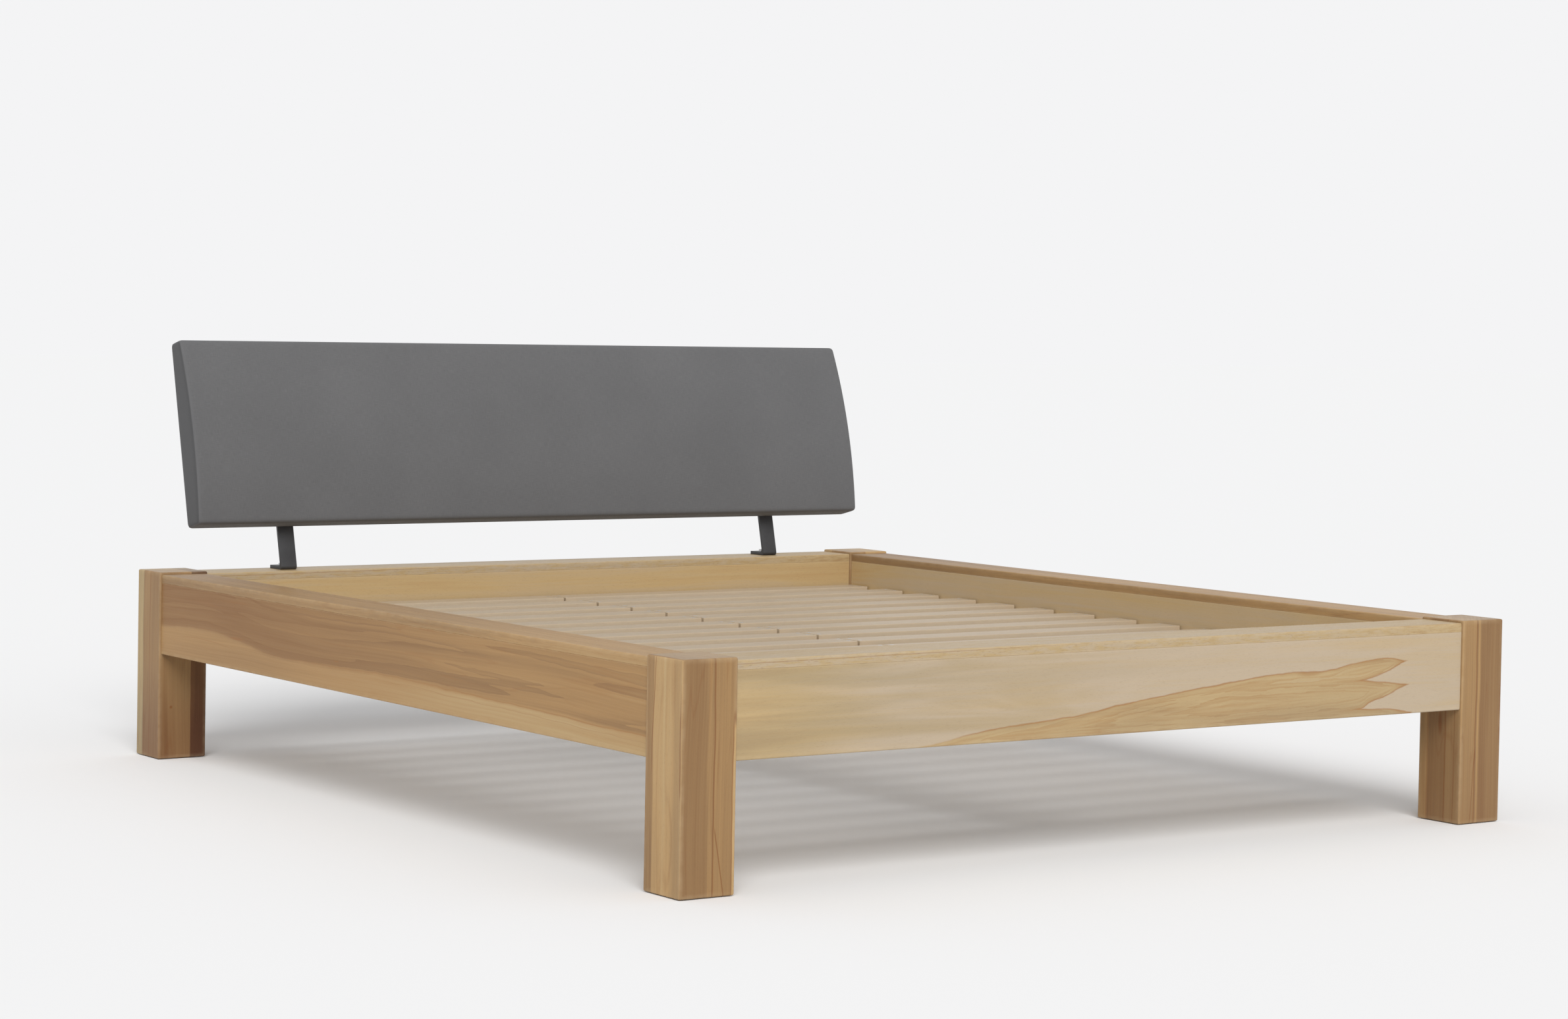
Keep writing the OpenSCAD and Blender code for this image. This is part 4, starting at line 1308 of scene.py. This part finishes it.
def make_pad(width, weave):
    """The foam and its cover, as one padded piece."""
    mesh = pad_mesh(width)
    mesh = swell(mesh)
    in_work = put("pad_in_work", mesh)
    division = in_work.modifiers.new("division", "SUBSURF")
    division.levels = 1
    division.render_levels = 1
    mesh = settle(in_work, "headboard_pad")
    mesh.transform(headboard_place())
    pad = new_piece("headboard_pad", mesh, "frame", "headboard_cover", "headboard_foam",
                    finish=weave, slot="grey_cover")


def make_panel_board(width):
    """The plywood that carries the foam, kept clear of the cover that is drawn round it."""
    clear = 2 * COVER_T
    low = Vector((-width / 2 + clear, -COVER_T - BOARD_T, PAD_LOW + clear))
    high = Vector((width / 2 - clear, -COVER_T, PAD_HIGH - clear))
    mesh = eased_board(low, high, 0, (JOINT_EASE,) * 4, JOINT_EASE, 0.7, 2, "panel_board")
    mesh.transform(headboard_place())
    new_piece("headboard_board_ply", mesh, "frame", "headboard_board", finish=plywood(), slot="plywood")


def back_cloth_mesh(across, up, middle):
    """The cloth as one layer, drawn a little at each staple and hardly slack between."""
    columns, rows = 120, 28
    off_board, wave_h = 0.0012, 0.0004
    made = bmesh.new()
    cloth = made.verts.layers.float_vector.new("cloth")
    grid = []
    for j in range(rows + 1):
        line = []
        for i in range(columns + 1):
            x, z = across * (i / columns - 0.5), up * (j / rows - 0.5)
            rim = min(across / 2 - abs(x), up / 2 - abs(z))
            pull = math.sin(x * 2 * math.pi / STAPLE_STEP) * math.exp(-max(rim, 0.0) / 0.02) * wave_h
            slack = wave_h * math.sin(x * 9.0 + z * 14.0)
            vert = made.verts.new((x, off_board + pull + slack * min(1.0, rim / 0.05), middle + z))
            vert[cloth] = Vector((x, z, 0.0))
            line.append(vert)
        grid.append(line)
    for low, high in zip(grid, grid[1:]):
        for i in range(columns):
            made.faces.new((low[i], low[i + 1], high[i + 1], high[i]))
    return smooth_mesh(made, "back_cloth")


def staple_places(wide, tall, middle):
    """One staple about every 40 mm round the cloth, a little uneven, as a hand gun sets them."""
    chance = random.Random(STAPLE_SEED)
    lift, drift, skew_most = 0.0016, 0.003, 0.12
    places = []
    for length, along_x in ((wide, True), (tall, False)):
        count = round(length / STAPLE_STEP)
        for side in (-1, 1):
            for i in range(count):
                run = length * ((i + 0.5) / count - 0.5) + chance.uniform(-drift, drift)
                skew = chance.uniform(-skew_most, skew_most)
                if along_x:
                    spot, spin = (run, lift, middle + side * tall / 2), skew
                else:
                    spot, spin = (side * wide / 2, lift, middle + run), math.pi / 2 + skew
                places.append((spot, (math.radians(-90), spin, 0.0)))
    return places


def make_back_cloth(width, dust, zinc):
    """The black cloth over the open middle of the back: it laps the cover's hem and is stapled round."""
    across = width - 2 * HEM + 2 * LAP
    up = (PAD_HIGH - PAD_LOW) - 2 * HEM + 2 * LAP
    middle = (PAD_LOW + PAD_HIGH) / 2
    carrier = put("cloth_in_work", back_cloth_mesh(across, up, middle))
    body = carrier.modifiers.new("body", "SOLIDIFY")
    body.thickness = CLOTH_T
    body.offset = 0.0
    mesh = settle(carrier, "headboard_back_cloth")
    mesh.transform(headboard_place())
    sheet = new_piece("headboard_dust_cloth", mesh, "frame", "headboard_back_cloth",
                      finish=dust, slot="back_cloth")
    staples = staple_places(across - 2 * STAPLE_IN, up - 2 * STAPLE_IN, middle)
    mesh = repeated("cloth_staples", staple_mesh(), staples, zinc)
    mesh.transform(headboard_place())
    row = new_piece("headboard_staples", mesh, "frame", slot="zinc_steel")


def make_headboard(weave, dust, zinc):
    """The leaning panel: its pad, its plywood and the cloth on its back."""
    low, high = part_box("headboard_cover")
    width = high.x - low.x
    make_pad(width, weave)
    make_panel_board(width)
    make_back_cloth(width, dust, zinc)


# ---------------------------------------------------------------- what keeps its CAD mesh


def coat_the_rest(finishes):
    """Gives their finishes to the CAD nodes that no made piece stands for."""
    for name, finish in finishes.items():
        materials = NODES[name].data.materials
        materials.clear()
        materials.append(finish)


# ---------------------------------------------------------------- stage and camera

ROOM_LIGHT = 0.604
ROOM_COLOUR = (0.99, 0.992, 1.0, 1.0)
LAMP_ROUND = math.radians(-30.0)     # from straight in front of the foot end, to the left
LAMP_UP = math.radians(38.0)
LAMP_STRENGTH = 2.10
LAMP_SPREAD = math.radians(34.0)
CAMERA_PLACE = (-4.2985, -6.0856, 1.0139)
CAMERA_YAW = math.radians(34.666)
CAMERA_PITCH = math.radians(-1.920)
CAMERA_ROLL = math.radians(1.036)


def make_floor():
    """A pale floor without end."""
    made = bmesh.new()
    reach = 60.0
    corners = ((-reach, -reach), (reach, -reach), (reach, reach), (-reach, reach))
    made.faces.new([made.verts.new((x, y, 0.0)) for x, y in corners])
    floor = put("floor", smooth_mesh(made, "floor"))
    paper = Finish("floor_paper", Roughness=0.9, Specular_IOR_Level=0.0)
    floor.data.materials.append(paper.paint(PALE_GREY))


def make_room():
    """Soft light from all round; what is seen behind the bed is a plain backdrop."""
    world = bpy.data.worlds.new("soft_room")
    bpy.context.scene.world = world
    world.use_nodes = True
    nodes, links = world.node_tree.nodes, world.node_tree.links
    room = nodes["Background"]
    room.inputs["Color"].default_value = ROOM_COLOUR
    room.inputs["Strength"].default_value = ROOM_LIGHT
    seen = nodes.new("ShaderNodeBackground")
    seen.inputs["Color"].default_value = BACKDROP
    path = nodes.new("ShaderNodeLightPath")
    both = nodes.new("ShaderNodeMath")
    both.operation = "MAXIMUM"
    links.new(path.outputs["Is Camera Ray"], both.inputs[0])
    links.new(path.outputs["Is Glossy Ray"], both.inputs[1])
    pick = nodes.new("ShaderNodeMixShader")
    links.new(both.outputs[0], pick.inputs[0])
    links.new(room.outputs[0], pick.inputs[1])
    links.new(seen.outputs[0], pick.inputs[2])
    links.new(pick.outputs[0], nodes["World Output"].inputs["Surface"])


def make_lamp():
    """A wide soft lamp to the front left."""
    lamp = bpy.data.lights.new("front_lamp", "SUN")
    lamp.energy = LAMP_STRENGTH
    lamp.angle = LAMP_SPREAD
    flat = math.cos(LAMP_UP)
    toward = Vector((math.sin(LAMP_ROUND) * flat, -math.cos(LAMP_ROUND) * flat, math.sin(LAMP_UP)))
    put("front_lamp", lamp).rotation_euler = toward.to_track_quat("Z", "Y").to_euler()


def make_camera():
    """Stands low in front of the foot end's left corner, looking along the bed."""
    level = Vector((math.sin(CAMERA_YAW), math.cos(CAMERA_YAW), 0.0))
    side = Vector((math.cos(CAMERA_YAW), -math.sin(CAMERA_YAW), 0.0))
    ahead = level * math.cos(CAMERA_PITCH) + Vector((0, 0, 1)) * math.sin(CAMERA_PITCH)
    up = Vector((0, 0, 1)) * math.cos(CAMERA_PITCH) - level * math.sin(CAMERA_PITCH)
    right = side * math.cos(CAMERA_ROLL) + up * math.sin(CAMERA_ROLL)
    top = up * math.cos(CAMERA_ROLL) - side * math.sin(CAMERA_ROLL)
    turn = Matrix((right, top, -ahead)).transposed().to_4x4()
    camera_data = bpy.data.cameras.new("camera")
    camera_data.sensor_width = 36.0
    camera_data.lens = 78.985
    camera_data.shift_x = 0.0202
    camera_data.shift_y = -0.0488
    camera_data.clip_end = 200.0
    camera = put("camera", camera_data)
    camera.matrix_world = Matrix.Translation(CAMERA_PLACE) @ turn
    bpy.context.scene.camera = camera
    bpy.context.scene.view_settings.view_transform = "Standard"


# ---------------------------------------------------------------- the whole bed

make_camera()
make_floor()
make_room()
make_lamp()

zinc = zinc_plate()
coat = powder_coat()
ledge_timber = board_timber("ledge_timber", 0.20, streak=0.9, spread=0.2)
slat_timber = board_timber("slat_timber", 0.08, streak=0.8, fleck=0.3, spread=0.30)
inner_x = Timber("inner_timber_x", "XZY").finish(0.18)
inner_y = Timber("inner_timber_y", "YZX").finish(0.18)

make_legs()
make_rails()
make_ledges(ledge_timber, zinc)
make_glides(felt())
make_bases(slat_timber, zinc)
make_steel(coat, zinc)
make_headboard(woven_cover(), dust_cloth(), zinc)
coat_the_rest({
    "foot_rail_blocks": inner_x, "head_rail_blocks": inner_x, "left_rail_blocks": inner_y,
    "right_rail_blocks": inner_y, "corner_dowels": inner_x,
    "beam_shoe_foot": coat, "beam_shoe_head": coat, "shoe_screws": zinc, "corner_bolts": zinc,
    "corner_washers": zinc, "leg_inserts": zinc, "panel_tee_nuts": zinc,
})
